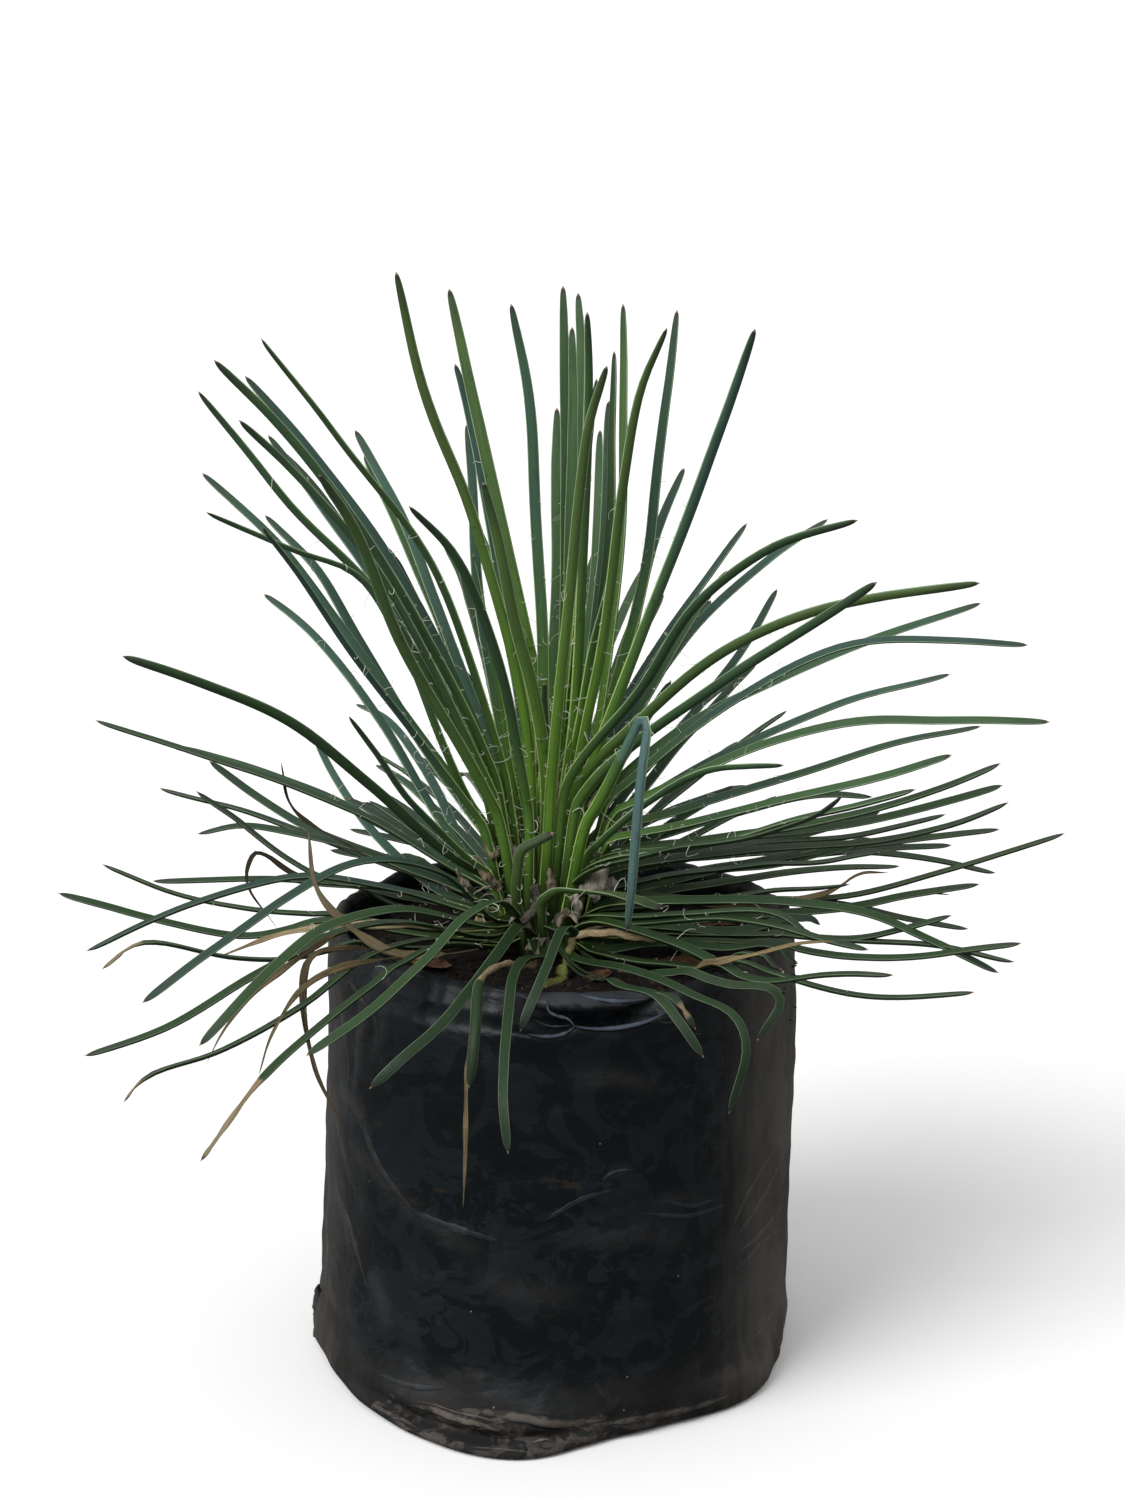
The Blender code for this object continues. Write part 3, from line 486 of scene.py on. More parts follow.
def new_finish(name):
    """A material with its tree, its shader and its place on the piece."""
    finish = bpy.data.materials.new(name)
    finish.use_nodes = True
    tree = finish.node_tree
    place = add(tree, "ShaderNodeTexCoord").outputs["Object"]
    return finish, tree, tree.nodes["Principled BSDF"], place


def surfaced(tree, shader, colour, rough, glint=0.5):
    """A shader's colour, its roughness, which may vary, and how strongly it reflects."""
    tree.links.new(colour, shader.inputs["Base Color"])
    if isinstance(rough, float):
        shader.inputs["Roughness"].default_value = rough
    else:
        tree.links.new(rough, shader.inputs["Roughness"])
    shader.inputs["Specular IOR Level"].default_value = glint


def bumpy(tree, shader, height, distance, strength=1.0):
    """Fine relief on a shader."""
    made = add(tree, "ShaderNodeBump", {"Height": height, "Distance": distance, "Strength": strength})
    tree.links.new(made.outputs["Normal"], shader.inputs["Normal"])


def finished(piece, finish, slot, *nodes):
    """A piece with its material, on its body, standing for the nodes that it replaces."""
    if finish is not None:
        piece.data.materials.clear()
        piece.data.materials.append(finish)
    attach(piece, "root")
    if nodes:
        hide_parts(*nodes)


film_black, tree, shader, place = new_finish("black_polythene_film")
stain = cloudy(tree, place, 38.0, 7.0, 0.58, 1.1)
stain_edge = eased(tree, stain, 0.500, 0.520)
second_stain = eased(tree, cloudy(tree, stretched(tree, place, (1.0, 1.0, 1.5)), 70.0, 6.0, 0.58, 0.9), 0.545, 0.570)
second_stain = times(tree, second_stain, eased(tree, cloudy(tree, place, 15.0, 2.0), 0.42, 0.58))
rust = cloudy(tree, stretched(tree, place, (1.0, 1.0, 2.4), (0.4, 0.2, 0.1)), 26.0, 6.0, 0.6, 0.5)
rust = eased(tree, rust, 0.64, 0.74)
# Dust and a painted sheen along both sides of the film, in vertical streaks, reaching further in on the right
side_reach = unsigned(tree, plus(tree, axis_of(tree, place, "X"), 0.006))
streak = cloudy(tree, stretched(tree, place, (1.0, 1.0, 0.16)), 150.0, 5.0, 0.6)
side_dust_and_sheen = eased(tree, plus(tree, side_reach, times(tree, streak, 0.034)), 0.092, 0.140)
ragged = times(tree, cloudy(tree, stretched(tree, place, (1.0, 1.0, 1.8)), 44.0, 8.0, 0.62, 0.6), 0.052)
low_reach = minus(tree, axis_of(tree, place, "Z"), ragged)
off_front = eased(tree, side_reach, 0.052, 0.080, 0.0, 0.010)
patchy = eased(tree, cloudy(tree, stretched(tree, place, (1.0, 1.0, 2.6)), 62.0, 5.0, 0.6, 0.6), 0.45, 0.49)
mud = eased(tree, plus(tree, low_reach, off_front), -0.0120, -0.0145)
mud = times(tree, mud, patchy)
haze = eased(tree, low_reach, 0.016, -0.012)
colour = tinted(tree, stain_edge, (0.0042, 0.0060, 0.0072), (0.0080, 0.0112, 0.0134))
colour = tinted(tree, times(tree, second_stain, 0.7), colour, (0.0130, 0.0172, 0.0200))
colour = tinted(tree, times(tree, rust, 0.60), colour, (0.036, 0.026, 0.018))
colour = tinted(tree, times(tree, haze, 0.30), colour, (0.030, 0.025, 0.021))
dust_and_sheen_patches = eased(tree, cloudy(tree, stretched(tree, place, (1.0, 1.0, 0.5)), 30.0, 4.0), 0.34, 0.62, 0.35, 0.80)
# The side colour: dust, lightened towards the right edge into a painted beige highlight
dust_and_sheen_colour = tinted(tree, eased(tree, axis_of(tree, place, "X"), 0.050, 0.100), (0.084, 0.074, 0.063),
              (0.128, 0.114, 0.098))
colour = tinted(tree, times(tree, side_dust_and_sheen, dust_and_sheen_patches), colour, dust_and_sheen_colour)
grime = tinted(tree, eased(tree, cloudy(tree, place, 150.0, 6.0, 0.65), 0.35, 0.65),
               (0.024, 0.020, 0.018), (0.095, 0.083, 0.075))
colour = tinted(tree, times(tree, mud, 0.65), colour, grime)
# Worn crests and folds: brown dust, and a painted pale blue sky highlight where they are not brown, strongest along
# each fold's middle
brown = told(tree, "brown")
wear_and_highlight_colour = tinted(tree, brown, (0.085, 0.105, 0.140), (0.122, 0.104, 0.088))
fleck = eased(tree, cloudy(tree, stretched(tree, place, (1.0, 1.0, 3.0)), 80.0, 6.0, 0.6, 0.8), 0.45, 0.51, 0.30, 1.0)
fleck = larger(tree, fleck, is_under(tree, brown, 1.1))
ridge = unsigned(tree, told(tree, "across"))
wear = times(tree, told(tree, "wear"), fleck)
colour = tinted(tree, times(tree, wear, eased(tree, ridge, 0.95, 0.25)), colour, wear_and_highlight_colour)
speck_cell = add(tree, "ShaderNodeTexVoronoi", {"Vector": place, "Scale": 85.0, "Randomness": 1.0})
speck = eased(tree, speck_cell.outputs["Distance"], 0.046, 0.024)
few = add(tree, "ShaderNodeSeparateColor", {0: speck_cell.outputs["Color"]}).outputs[0]
speck = times(tree, speck, eased(tree, few, 0.80, 0.82))
colour = tinted(tree, times(tree, speck, 0.8), colour, (0.22, 0.22, 0.21))
rough = eased(tree, stain, 0.35, 0.65, 0.34, 0.42)
rough = larger(tree, rough, times(tree, haze, 0.85))
rough = larger(tree, rough, times(tree, larger(tree, mud, side_dust_and_sheen), 0.72))
surfaced(tree, shader, colour, rough, 0.16)
pucker = cloudy(tree, stretched(tree, place, (1.0, 1.0, 1.5)), 90.0, 4.0, 0.5, 0.4)
fine = times(tree, cloudy(tree, place, 420.0, 3.0), 0.10)
bumpy(tree, shader, plus(tree, pucker, fine), 0.0016, 0.55)
finished(thickened(bag, FILM, -1.0), film_black, "black_film", "grow_bag")


def new_tree(name, *sockets):
    """A tree of geometry nodes with its named inputs, and its two ends."""
    tree = bpy.data.node_groups.new(name, "GeometryNodeTree")
    tree.interface.new_socket("Geometry", in_out="INPUT", socket_type="NodeSocketGeometry")
    for label, kind, value in sockets:
        socket = tree.interface.new_socket(label, in_out="INPUT", socket_type=kind)
        if value is not None:
            socket.default_value = value
    tree.interface.new_socket("Geometry", in_out="OUTPUT", socket_type="NodeSocketGeometry")
    return tree, tree.nodes.new("NodeGroupInput").outputs, tree.nodes.new("NodeGroupOutput").inputs


def grown(name, mesh, tree, **values):
    """A mesh run through a tree of geometry nodes, as a plain piece."""
    piece = new_piece(name, mesh)
    growth = piece.modifiers.new(tree.name, "NODES")
    growth.node_group = tree
    for item in tree.interface.items_tree:
        label = item.name.replace(" ", "_")
        if item.item_type == "SOCKET" and item.in_out == "INPUT" and label in values:
            growth[item.identifier] = values[label]
    return settled(piece)


def strands(name, lines):
    """A mesh of strands along courses, with what else is told of each as attributes of its points."""
    edges = []
    start = 0
    for line in lines:
        count = len(line["course"])
        edges += [(start + i, start + i + 1) for i in range(count - 1)]
        start += count
        for label in line:
            line[label] = line[label] if np.ndim(line[label]) else np.full(count, line[label])
    joined = {label: np.concatenate([line[label] for line in lines]) for label in lines[0]}
    mesh = bpy.data.meshes.new(name)
    mesh.from_pydata(joined.pop("course").tolist(), edges, [])
    for label, values in joined.items():
        kind, key = ("FLOAT_VECTOR", "vector") if values.ndim == 2 else ("FLOAT", "value")
        mesh.attributes.new(label, kind, "POINT").data.foreach_set(key, values.astype(np.float32).ravel())
    return mesh


def section_curve(name, corners):
    """A closed outline, kept apart from the scene, for strands to be drawn along."""
    mesh = bpy.data.meshes.new(name)
    count = len(corners)
    mesh.from_pydata([(x, y, 0.0) for x, y in corners], [(i, (i + 1) % count) for i in range(count)], [])
    return bpy.data.objects.new(name, mesh)


def delivered(tree, geometry, finish, result):
    """The end of a tree: what it strewed made real, and its material set."""
    whole = add(tree, "GeometryNodeRealizeInstances", {0: geometry}).outputs[0]
    coated = add(tree, "GeometryNodeSetMaterial", {"Geometry": whole, "Material": finish})
    tree.links.new(coated.outputs[0], result[0])


def blades(name, lines, section, finish, slot, *nodes):
    """A finished piece of blades of one section, each drawn along its line."""
    piece = grown(name, strands(f"{name}_lines", lines), blade_tree, Section=section, Finish=finish)
    finished(piece, None, slot, *nodes)
    return piece


def surface_of(piece):
    """The faces of a piece, for a sight line to strike."""
    return BVHTree.FromPolygons([v.co for v in piece.data.vertices], [p.vertices[:] for p in piece.data.polygons])


def struck(surface, pixel):
    """Where a pixel's sight line strikes a surface, and how the surface faces there."""
    return surface.ray_cast(Vector(VIEWER), Vector(sight_line(pixel)))[:2]


blade_tree, given, result = new_tree(
    "blades along strands",
    ("Section", "NodeSocketObject", None),
    ("Fullness", "NodeSocketFloat", 1.0),
    ("Finish", "NodeSocketMaterial", None),
)
outline = add(blade_tree, "GeometryNodeObjectInfo", {0: given["Section"]}).outputs["Geometry"]
outline = add(blade_tree, "GeometryNodeMeshToCurve", {0: outline}).outputs[0]
spot = add(blade_tree, "GeometryNodeInputPosition").outputs[0]
for label, axis in (("across", "X"), ("rise", "Y")):
    saved = {"Geometry": outline, "Name": label, "Value": axis_of(blade_tree, spot, axis)}
    outline = add(blade_tree, "GeometryNodeStoreNamedAttribute", saved, data_type="FLOAT", domain="POINT").outputs[0]
course = add(blade_tree, "GeometryNodeMeshToCurve", {0: given["Geometry"]}).outputs[0]
course = add(blade_tree, "GeometryNodeSetCurveNormal", {0: course}, mode="FREE")
blade_tree.links.new(told(blade_tree, "side", "FLOAT_VECTOR"), course.inputs["Normal"])
half = told(blade_tree, "half")
swept = add(blade_tree, "GeometryNodeCurveToMesh", {
    "Curve": course.outputs[0], "Profile Curve": outline,
    "Scale": times(blade_tree, half, given["Fullness"]), "Fill Caps": True})
smooth = add(blade_tree, "GeometryNodeSetShadeSmooth", {0: swept.outputs[0]})
delivered(blade_tree, smooth.outputs[0], given["Finish"], result)


# Folds that stand off the film: half width in millimetres, how worn and lit they are (wear with a painted highlight,
# pale blue where not brown), how brown they are, and their pixels
FILM_FOLDS = (
    (1.30, 0.85, 0.0, (568, 1026), (579, 1028), (591, 1029), (611, 1028), (628, 1025), (647, 1019), (666, 1009)),
    (1.10, 0.72, 0.1, (569, 1026), (564, 1031), (553, 1035.5), (537, 1036.5), (522, 1034)),
    (0.90, 0.42, 0.3, (541, 1000), (543, 1011), (550, 1015.5), (562, 1019), (569, 1026)),
    (0.50, 0.35, 0.4, (528, 1019), (540, 1025), (553, 1026.5), (565, 1025)),
    (1.50, 0.75, 0.0, (563, 987), (573, 992), (585, 996), (604, 1000), (624, 1001), (646, 999)),
    (0.60, 0.45, 0.5, (413, 975), (427, 977), (440, 972), (450, 962), (457, 953), (464, 951), (471, 955),
     (478, 964)),
    (0.90, 0.22, 0.2, (485, 988), (510, 992), (540, 995), (556, 991)),
    (0.60, 0.35, 0.6, (634, 1022), (652, 1022), (668, 1014)),
    (0.60, 0.35, 0.6, (655, 1020), (668, 1023), (678, 1018)),
    (1.60, 0.22, 1.0, (344, 977), (353, 986), (364, 1003), (374, 1017), (377, 1032), (379, 1042)),
    (1.00, 0.26, 0.6, (347, 1037), (349, 1070), (347, 1096), (349, 1109), (347, 1122)),
    (2.40, 0.20, 1.0, (341, 1096), (354, 1109), (364, 1129), (376, 1160), (395, 1190), (414, 1213)),
    (1.60, 0.40, 1.0, (330, 1057), (331, 1096), (338, 1129)),
    (1.50, 0.35, 1.0, (327, 1000), (331, 1030), (329, 1060)),
    (2.20, 0.24, 1.0, (329, 1150), (338, 1190), (352, 1235), (368, 1290)),
    (1.80, 0.32, 0.8, (324, 1200), (328, 1250), (326, 1296)),
    (2.40, 0.16, 0.4, (412, 1212), (456, 1229), (498, 1241)),
    (1.60, 0.60, 0.9, (795, 975), (796, 1010), (793, 1060), (790, 1100)),
    (1.40, 0.40, 0.9, (786, 1000), (783, 1050), (788, 1080)),
    (1.90, 0.38, 0.8, (784, 1154), (770, 1185), (758, 1206), (737, 1237)),
    (1.70, 0.32, 0.8, (782, 1138), (765, 1165), (750, 1190), (732, 1229)),
    (1.90, 0.42, 0.8, (786, 1201), (771, 1221), (753, 1242), (738, 1252)),
    (1.80, 0.36, 0.8, (786, 1227), (763, 1242), (740, 1268)),
    (1.80, 0.32, 0.8, (785, 1284), (771, 1315), (753, 1341)),
    (1.60, 0.28, 0.8, (786, 1262), (776, 1285), (764, 1300)),
    (1.80, 0.30, 0.8, (788, 1110), (778, 1130), (768, 1170)),
    (0.90, 0.40, 0.3, (602, 1180), (614, 1172), (634, 1169)),
    (1.80, 0.16, 0.3, (545, 1221), (581, 1200), (612, 1190)),
    (1.60, 0.18, 0.3, (659, 1200), (695, 1206), (716, 1198)),
    (1.60, 0.15, 0.3, (640, 1213), (690, 1216), (726, 1205)),
    (2.20, 0.16, 0.4, (378, 1374), (412, 1386), (446, 1388)),
    (2.20, 0.80, 1.2, (410, 1405), (434, 1410), (452, 1417), (482, 1425), (500, 1432)),
    (0.70, 0.60, 0.9, (416, 1401), (436, 1405), (452, 1411), (484, 1418), (500, 1424)),
    (3.20, 0.62, 1.2, (456, 1410), (486, 1412), (520, 1417), (560, 1424), (604, 1421)),
    (2.40, 0.45, 1.2, (590, 1426), (640, 1419), (690, 1409), (730, 1396)),
    (1.80, 0.60, 1.2, (372, 1404), (384, 1411), (402, 1419), (420, 1430)),
    (0.90, 0.45, 0.9, (470, 1447), (500, 1449), (528, 1452)),
    (2.20, 0.12, 0.9, (323, 1284), (320, 1297), (317, 1310), (315, 1322)),
    (1.70, 0.22, 0.9, (318, 1318), (315, 1330), (316, 1340), (320, 1352)),
    (1.00, 0.90, 0.9, (538, 1443), (546, 1440), (555, 1439)),
)

# The folds of the table that stand clear of the film: how far from the bag's axis, in millimetres, each
# starts and ends
CLEAR_FOLDS = {
    0: (112.9, 112.9), 1: (112.9, 112.9), 2: (100, 112.9), 3: (110, 110),
    37: (115.3, 116.0), 38: (116.2, 115.6), 39: (131, 131),
}
FOLD_SECTION = ((-1.0, -0.12), (-0.6, 0.12), (0.0, 0.25), (0.6, 0.12), (1.0, -0.12), (0.0, -0.4))

film_surface = surface_of(bag)
lines = []
for k, (wide, wear, brown, *pixels) in enumerate(FILM_FOLDS):
    count = 8 + int(math.dist(pixels[0], pixels[-1]) / 4)
    points, normals = [], []
    for i, pixel in enumerate(smooth_course(pixels, count)):
        if k in CLEAR_FOLDS:
            first, last = CLEAR_FOLDS[k]
            radius = (first + (last - first) * i / (count - 1)) / 1000
            angle, height = on_wall(pixel, radius)
            out = Vector((math.cos(angle), math.sin(angle), 0.0))
            lean = BAG_LEAN * height / BAG_HEIGHT
            points.append(out * radius + Vector((lean, 0.0, max(0.0012, height))))
            normals.append((Vector(VIEWER) - points[-1]).normalized())
        else:
            spot, normal = struck(film_surface, pixel)
            if spot is not None:
                points.append(spot)
                normals.append(normal)
    points, normals = np.array(points), np.array(normals)
    if k not in CLEAR_FOLDS:
        for _ in range(2):
            for rows in (points, normals):
                for axis in range(3):
                    rows[1:-1, axis] = np.convolve(rows[:, axis], (0.25, 0.5, 0.25), "valid")
    side = unit(np.cross(normals, np.gradient(points, axis=0)))
    share = np.linspace(0.0, 1.0, len(points))
    uneven = np.array([1.0 + 0.5 * noise_at(s * 9.0, wide * 30.0, pixels[0][0]) for s in share])
    half = wide / 1000 * uneven * (0.12 + 0.88 * np.sin(math.pi * share) ** 0.6)
    faded = wear * (0.35 + 0.65 * np.sin(math.pi * share) ** 0.6) * np.clip(uneven, 0.4, 1.2)
    lines.append({"course": points, "side": side, "half": half, "wear": faded, "brown": brown})
blades("film_folds", lines, section_curve("fold section", FOLD_SECTION), film_black, "black_film")


# Soil
# Dark nursery mix of loam, coir and a little grit, pressed into the bag and settled along the film.
# Its crumbs are strewn over the surface.
SOIL_LEVEL = 0.2000
SOIL_LUMP = 0.0016
SOIL_DIP = 0.0030
SOIL_DIP_FROM = 0.060
SOIL_DIP_RUN = 0.050
CROWN_FLAT = 0.0300
CROWN_FLAT_EDGE = 0.020
SOIL_INSET = 0.0015
SOIL_COLUMNS = 220
SOIL_RINGS = 64
CRUMB_SEED = 3

# The clods: how much finer each kind is than the first, and how high it stands
CLODS = ((1.0, 0.0013), (3.1, 0.0007), (8.0, 0.0004))

# The waves that the soil's lumps are the sum of: along x, along y, start and share
SOIL_WAVES = (
    (96.0, 88.0, 1.0, 0.38),
    (96.0, -88.0, 1.0, 0.38),
    (120.0, -104.0, 0.0, 0.45),
)


def soil_height(x, y):
    """The lie of the soil: a low mound round the crown, lumpy, and lower along the film."""
    reach = math.hypot(x - BAG_LEAN, y)
    ease = min(1.0, max(0.0, (reach - CROWN_FLAT) / CROWN_FLAT_EDGE))
    lumps = sum(share * math.sin(a * x + b * y + start) for a, b, start, share in SOIL_WAVES)
    dip = SOIL_DIP * min(1.0, max(0.0, (reach - SOIL_DIP_FROM) / SOIL_DIP_RUN)) ** 2
    return SOIL_LEVEL + ease * (SOIL_LUMP * lumps - dip)


def crumbly_height(x, y):
    """The soil's height with its crumbs and clods."""
    spot = Vector((x * 90.0, y * 90.0, 0.3))
    return soil_height(x, y) + sum(noise.noise(spot * finer) * size for finer, size in CLODS)


soil_points = []
for i in range(SOIL_RINGS):
    share = 0.03 + 0.97 * i / (SOIL_RINGS - 1)
    ring = []
    for j in range(SOIL_COLUMNS):
        angle = -math.pi + 2 * math.pi * j / SOIL_COLUMNS
        reach = (BAG_MOUTH_RADIUS - SOIL_INSET) * share
        x, y, _ = bag_bend(reach * math.cos(angle), reach * math.sin(angle), SOIL_LEVEL)
        turned_in = max(bump_share(angle, SLOPING_AT), bump_share(angle, DOUBLED_AT))
        under = min(1.0, max(0.0, (reach - 0.0880) / 0.0050)) * turned_in
        ring.append((x, y, crumbly_height(x, y) - 0.0220 * under))
    soil_points.append(ring)
for height in (0.172, 0.137, 0.103, 0.069, 0.043, 0.026, 0.014, 0.006, 0.0022):
    reach = wall_radius(height) - SOIL_INSET - (0.006 if height < 0.003 else 0.0008)
    steps = [-math.pi + 2 * math.pi * j / SOIL_COLUMNS for j in range(SOIL_COLUMNS)]
    soil_points.append([bag_bend(reach * math.cos(a), reach * math.sin(a), height) for a in steps])
soil = new_piece("soil_body", skin(np.array(soil_points), True, True))

soil_dark, tree, shader, place = new_finish("nursery_soil")
clod = cloudy(tree, place, 130.0, 8.0, 0.68)
colour = tinted(tree, eased(tree, clod, 0.34, 0.62), (0.0024, 0.0020, 0.0018), (0.0120, 0.0088, 0.0070))
fibre = eased(tree, cloudy(tree, stretched(tree, place, (1.0, 0.2, 1.0)), 900.0, 3.0), 0.60, 0.70)
colour = tinted(tree, times(tree, fibre, 0.3), colour, (0.060, 0.044, 0.032))
surfaced(tree, shader, colour, 0.93, 0.2)
bumpy(tree, shader, cloudy(tree, place, 520.0, 8.0, 0.7), 0.0012)
finished(soil, soil_dark, "soil", "soil")


def mesh_of(form, name):
    """A form that was built up by its parts, as a mesh."""
    mesh = bpy.data.meshes.new(name)
    form.to_mesh(mesh)
    form.free()
    return mesh


def crumb_shape(name, seed, length, flatness, group):
    """A small angular crumb, kept apart from the scene, to be strewn."""
    form = bmesh.new()
    bmesh.ops.create_icosphere(form, subdivisions=1, radius=1.0)
    draw = random.Random(seed)
    for vert in form.verts:
        vert.co *= draw.uniform(0.72, 1.18)
        vert.co.x *= length
        vert.co.z *= flatness
    group.objects.link(bpy.data.objects.new(name, mesh_of(form, name)))


def drawn(tree, kind, least, most, seed, owner=None):
    """A random value of a kind between two limits."""
    first = {"FLOAT_VECTOR": 0, "FLOAT": 2, "INT": 4}[kind]
    inputs = {first: least, first + 1: most, 8: seed}
    if owner is not None:
        inputs[7] = owner
    output = {"FLOAT_VECTOR": 0, "FLOAT": 1, "INT": 2}[kind]
    return add(tree, "FunctionNodeRandomValue", inputs, data_type=kind).outputs[output]


# The crumbs' kinds: length and flatness
CRUMB_KINDS = ((1.0, 0.8), (1.3, 0.7), (2.4, 0.45), (0.9, 0.9), (3.6, 0.30))

crumbs = bpy.data.collections.new("crumb shapes")
for k, (length, flatness) in enumerate(CRUMB_KINDS):
    crumb_shape(f"crumb_{k}", 20 + k, length, flatness, crumbs)

strew, given, result = new_tree(
    "strewn crumbs",
    ("Crumbs", "NodeSocketCollection", None),
    ("Density", "NodeSocketFloat", 60000.0),
    ("Smallest", "NodeSocketFloat", 0.0005),
    ("Largest", "NodeSocketFloat", 0.0021),
    ("Seed", "NodeSocketInt", CRUMB_SEED),
    ("Finish", "NodeSocketMaterial", None),
)
level = axis_of(strew, add(strew, "GeometryNodeInputNormal").outputs[0], "Z")
high = axis_of(strew, add(strew, "GeometryNodeInputPosition").outputs[0], "Z")
top = times(strew, is_over(strew, level, 0.4), is_over(strew, high, 0.19))
spots = add(strew, "GeometryNodeDistributePointsOnFaces", {
    "Mesh": given["Geometry"], "Density": given["Density"], "Selection": top, "Seed": given["Seed"]})
parts = add(strew, "GeometryNodeCollectionInfo", {0: given["Crumbs"], 1: True, 2: True})
skew = drawn(strew, "FLOAT", 0.0, 1.0, 5)
size = add(strew, "ShaderNodeMapRange", {
    "Value": reckoned("POWER", strew, skew, 2.6), "To Min": given["Smallest"], "To Max": given["Largest"]})
laid = add(strew, "GeometryNodeInstanceOnPoints", {
    "Points": spots.outputs[0], "Instance": parts.outputs[0], "Pick Instance": True,
    "Instance Index": drawn(strew, "INT", 0, len(CRUMB_KINDS) - 1, 7),
    "Rotation": drawn(strew, "FLOAT_VECTOR", (-0.5, -0.5, 0.0), (0.5, 0.5, 6.283), 9),
    "Scale": size.outputs[0]})
toned = add(strew, "GeometryNodeStoreNamedAttribute", {
    "Geometry": laid.outputs[0], "Name": "tone", "Value": drawn(strew, "FLOAT", 0.0, 1.0, 11)},
    data_type="FLOAT", domain="INSTANCE")
delivered(strew, toned.outputs[0], given["Finish"], result)

crumb_finish, tree, shader, place = new_finish("soil_crumbs")
tone = told(tree, "tone")
colour = tinted(tree, eased(tree, tone, 0.0, 0.80), (0.004, 0.003, 0.0026), (0.024, 0.017, 0.013))
colour = tinted(tree, eased(tree, tone, 0.955, 0.99), colour, (0.13, 0.10, 0.08))
mottle = cloudy(tree, place, 900.0, 4.0)
colour = tinted(tree, times(tree, mottle, 0.55), colour, (0.018, 0.013, 0.010))
surfaced(tree, shader, colour, 0.9, 0.25)
crumb_piece = grown("soil_crumbs", soil.data.copy(), strew, Crumbs=crumbs, Finish=crumb_finish)
finished(crumb_piece, None, "soil")


# Fallen leaves
# Small dead leaves of a tree that stood over the bed, dried brown, cupped along their edges.
# They lie loose on the soil where they fell.

# Each: where it lies, its length and width, and the way that it points, in degrees
FALLEN_LEAVES = (
    (0.065, -0.028, 0.030, 0.015, 20),
    (-0.058, -0.030, 0.027, 0.012, 150),
    (0.023, -0.049, 0.018, 0.010, 65),
    (0.034, 0.062, 0.028, 0.013, -35),
    (-0.046, 0.056, 0.024, 0.012, 100),
    (0.080, 0.026, 0.020, 0.011, 5),
)
FALLEN_THICKNESS = 0.0005
FALLEN_LENGTHWAYS = 26
FALLEN_CROSSWAYS = 12

leaf_brown, tree, shader, place = new_finish("dead_leaf")
uv = add(tree, "ShaderNodeUVMap", uv_map="leaf").outputs[0]
off_middle = unsigned(tree, minus(tree, axis_of(tree, uv, "Y"), 0.5))
slanted = minus(tree, axis_of(tree, uv, "X"), times(tree, off_middle, 0.9))
rib = reckoned("PINGPONG", tree, times(tree, slanted, 9.0), 0.5)
veined = larger(tree, eased(tree, rib, 0.07, 0.0), eased(tree, off_middle, 0.035, 0.010))
colour = tinted(tree, eased(tree, cloudy(tree, place, 260.0, 6.0, 0.65), 0.34, 0.66),
                (0.060, 0.026, 0.013), (0.215, 0.105, 0.050))
colour = tinted(tree, times(tree, veined, 0.5), colour, (0.33, 0.20, 0.11))
colour = tinted(tree, eased(tree, cloudy(tree, place, 700.0, 3.0), 0.60, 0.68), colour, (0.035, 0.018, 0.010))
surfaced(tree, shader, colour, 0.72, 0.3)
bumpy(tree, shader, veined, 0.0004)

for count, (x, y, length, width, bearing) in enumerate(FALLEN_LEAVES, 1):
    turn = math.radians(bearing)
    form = bmesh.new()
    bmesh.ops.create_grid(form, x_segments=FALLEN_LENGTHWAYS, y_segments=FALLEN_CROSSWAYS, size=0.5, calc_uvs=False)
    sheet = form.loops.layers.uv.new("leaf")
    for face in form.faces:
        for corner in face.loops:
            corner[sheet].uv = (corner.vert.co.x + 0.5, corner.vert.co.y + 0.5)
    for vert in form.verts:
        along, beside = vert.co.x, vert.co.y * 2
        blade = max(0.06, math.cos(math.pi * min(0.5, abs(along + 0.04)) * 0.99) ** 0.75)
        blade *= 1.0 + 0.10 * math.sin(23 * along + count) * abs(beside)
        run = along * length
        off = beside * blade * width / 2
        px = x + run * math.cos(turn) - off * math.sin(turn)
        py = y + run * math.sin(turn) + off * math.cos(turn)
        lift = 0.0005 + 0.0018 * abs(beside) ** 2.2 * blade + 0.0012 * abs(along * 2) ** 3
        lift += 0.0006 * noise_at(px * 130, py * 130, count)
        vert.co = (px, py, crumbly_height(px, py) * 0.3 + (SOIL_LEVEL + 0.0008) * 0.7 + lift)
    mesh = mesh_of(form, "fallen_leaf")
    mesh.shade_smooth()
    piece = thickened(new_piece(f"dead_leaf_{count}", mesh), FALLEN_THICKNESS, 1.0)
    finished(piece, leaf_brown, "dry_leaf", f"fallen_leaf_{count}")


